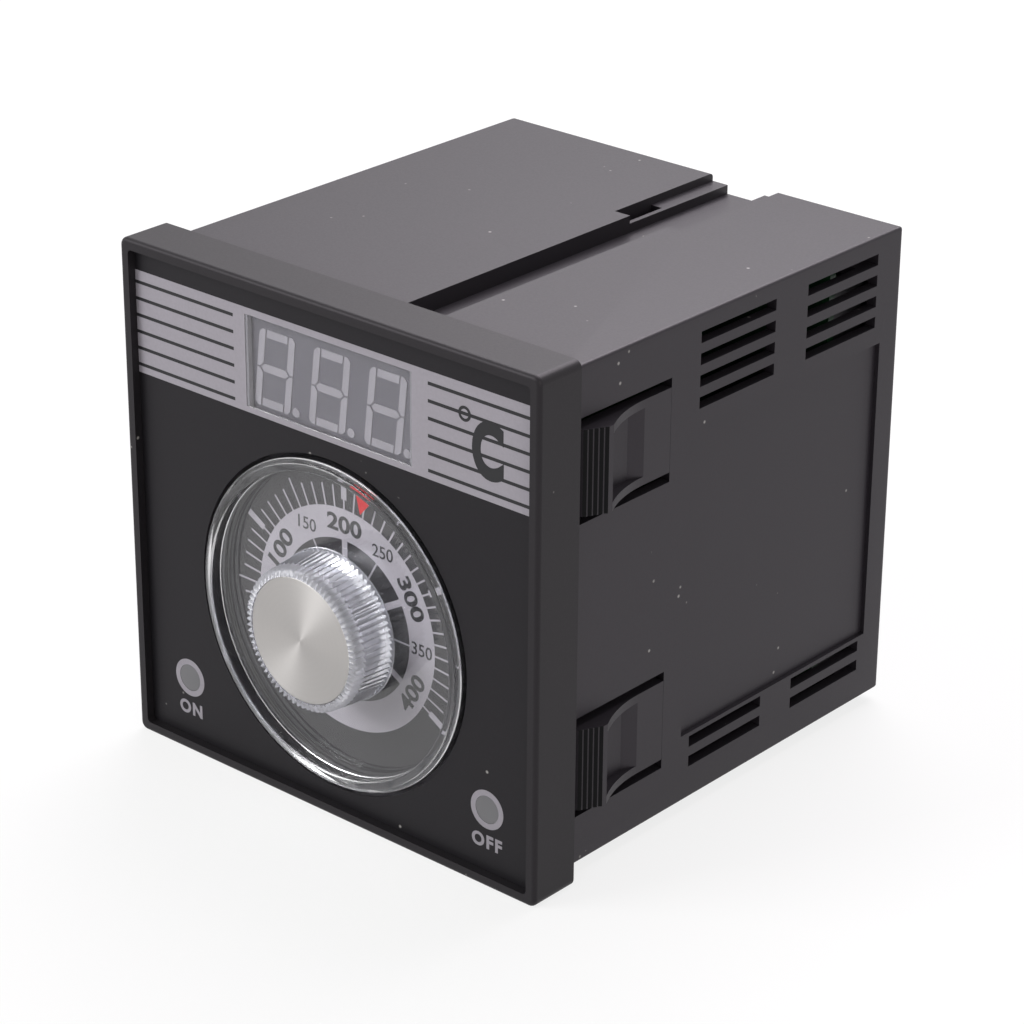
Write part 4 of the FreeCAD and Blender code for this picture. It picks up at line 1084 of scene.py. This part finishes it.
class CONTROLLER_OT_stage(bpy.types.Operator):
    """Set the pale floor, the studio light and the camera."""

    bl_idname = "controller.stage"
    bl_label = "Stage"

    def white_to_eye(self, tree, plain, white):
        """Shows white to the camera, in mirrors and through glass, and the plain shader to other rays."""
        path = add_node(tree, "ShaderNodeLightPath")
        most = path.outputs["Is Camera Ray"]
        for ray in ("Is Glossy Ray", "Is Transmission Ray"):
            pair = {0: most, 1: path.outputs[ray]}
            most = add_node(tree, "ShaderNodeMath", pair, operation="MAXIMUM").outputs["Value"]
        return add_node(tree, "ShaderNodeMixShader", {"Fac": most, 1: plain, 2: white}).outputs["Shader"]

    def floor(self, stage):
        clear_selection()
        bpy.ops.mesh.primitive_plane_add(size=stage.floor_side)
        floor = start_piece("floor")
        finish = Finish("floor_pale", (0.86, 0.86, 0.86), roughness=0.9, Specular_IOR_Level=0.1)
        plain = finish.shader.outputs["BSDF"]
        glow = finish.add("ShaderNodeEmission").outputs["Emission"]
        veil = finish.add("ShaderNodeMixShader", {"Fac": stage.veil, 1: plain, 2: glow})
        finish.surface(self.white_to_eye(finish.tree, plain, veil.outputs["Shader"]))
        floor.data.materials.append(finish.material)

    def world(self, stage):
        world = bpy.data.worlds.new("studio")
        world.use_nodes = True
        tree = world.node_tree
        plain = tree.nodes["Background"]
        plain.inputs["Color"].default_value = (1, 1, 1, 1)
        plain.inputs["Strength"].default_value = stage.sky
        white = add_node(tree, "ShaderNodeBackground", {"Color": (1, 1, 1, 1)})
        shown = self.white_to_eye(tree, plain.outputs["Background"], white.outputs["Background"])
        tree.links.new(shown, tree.nodes["World Output"].inputs["Surface"])
        bpy.context.scene.world = world

    def softbox(self, name, place, target, side, power, tone=(1, 1, 1)):
        lamp = bpy.data.lights.new(name, "AREA")
        lamp.shape = "SQUARE"
        lamp.size = side
        lamp.energy = power
        lamp.color = tone
        box = bpy.data.objects.new(name, lamp)
        box.location = place
        box.rotation_euler = (target - place).to_track_quat("-Z", "Y").to_euler()
        bpy.context.scene.collection.objects.link(box)

    def camera(self, stage, target):
        level = math.cos(stage.elevation)
        way = Vector((
            math.sin(stage.azimuth) * level, -math.cos(stage.azimuth) * level, math.sin(stage.elevation)))
        camera = bpy.data.cameras.new("camera")
        camera.lens = stage.lens
        camera.sensor_width = stage.sensor
        camera.clip_start = 0.01
        viewer = bpy.data.objects.new("camera", camera)
        turn = (-way).to_track_quat("-Z", "Y").to_matrix() @ Matrix.Rotation(stage.roll, 3, "Z")
        viewer.matrix_world = Matrix.Translation(target + way * stage.distance) @ turn.to_4x4()
        bpy.context.scene.collection.objects.link(viewer)
        bpy.context.scene.camera = viewer

    def execute(self, context):
        stage = sizes("stage")
        target = Vector((stage.target_x, stage.target_y, stage.target_z))
        self.floor(stage)
        self.world(stage)
        top = Vector((-0.15, 0.45, 0.75))
        left = Vector((-0.60, -0.85, 0.65))
        right = Vector((1.0, -0.45, 0.5))
        self.softbox("top_softbox", top, target, side=0.7, power=9.0, tone=(1.0, 0.95, 1.0))
        self.softbox("left_softbox", left, target, side=0.6, power=9.0)
        self.softbox("right_softbox", right, target, side=0.5, power=3.0, tone=(1.0, 0.95, 0.88))
        self.camera(stage, target)
        context.scene.view_settings.view_transform = "Standard"
        return {"FINISHED"}


class CONTROLLER_PT_pieces(bpy.types.Panel):
    """Lists the pieces in the order in which they are made."""

    bl_idname = "CONTROLLER_PT_pieces"
    bl_label = "Temperature controller"
    bl_space_type = "VIEW_3D"
    bl_region_type = "UI"
    bl_category = "Controller"

    def draw(self, context):
        for maker in MAKERS:
            self.layout.operator(maker.bl_idname)


GROUPS = {
    "case": CaseSizes,
    "print": PrintSizes,
    "scale": ScaleSizes,
    "dial": DialSizes,
    "finish": FinishColours,
    "stage": StageSettings,
}
MAKERS = (
    CONTROLLER_OT_housing,
    CONTROLLER_OT_case_body,
    CONTROLLER_OT_inside,
    CONTROLLER_OT_face_band,
    CONTROLLER_OT_display_lining,
    CONTROLLER_OT_lamp_marks,
    CONTROLLER_OT_scale,
    CONTROLLER_OT_dial_cup,
    CONTROLLER_OT_pointer,
    CONTROLLER_OT_fluted_knob,
    CONTROLLER_OT_spun_cap,
    CONTROLLER_OT_stage,
)


def register():
    for group in GROUPS.values():
        bpy.utils.register_class(group)
    for maker in MAKERS:
        bpy.utils.register_class(maker)
    bpy.utils.register_class(CONTROLLER_PT_pieces)
    for name, group in GROUPS.items():
        setattr(bpy.types.Scene, "controller_" + name, PointerProperty(type=group))


def unregister():
    for name in GROUPS:
        delattr(bpy.types.Scene, "controller_" + name)
    bpy.utils.unregister_class(CONTROLLER_PT_pieces)
    for maker in reversed(MAKERS):
        bpy.utils.unregister_class(maker)
    for group in reversed(GROUPS.values()):
        bpy.utils.unregister_class(group)


def main():
    register()
    bpy.ops.controller.housing()
    bpy.ops.controller.case_body()
    bpy.ops.controller.inside()
    bpy.ops.controller.face_band()
    bpy.ops.controller.display_lining()
    bpy.ops.controller.lamp_marks()
    bpy.ops.controller.scale()
    bpy.ops.controller.dial_cup()
    bpy.ops.controller.pointer()
    bpy.ops.controller.fluted_knob()
    bpy.ops.controller.spun_cap()
    bpy.ops.controller.stage()


if __name__ == "__main__":
    main()
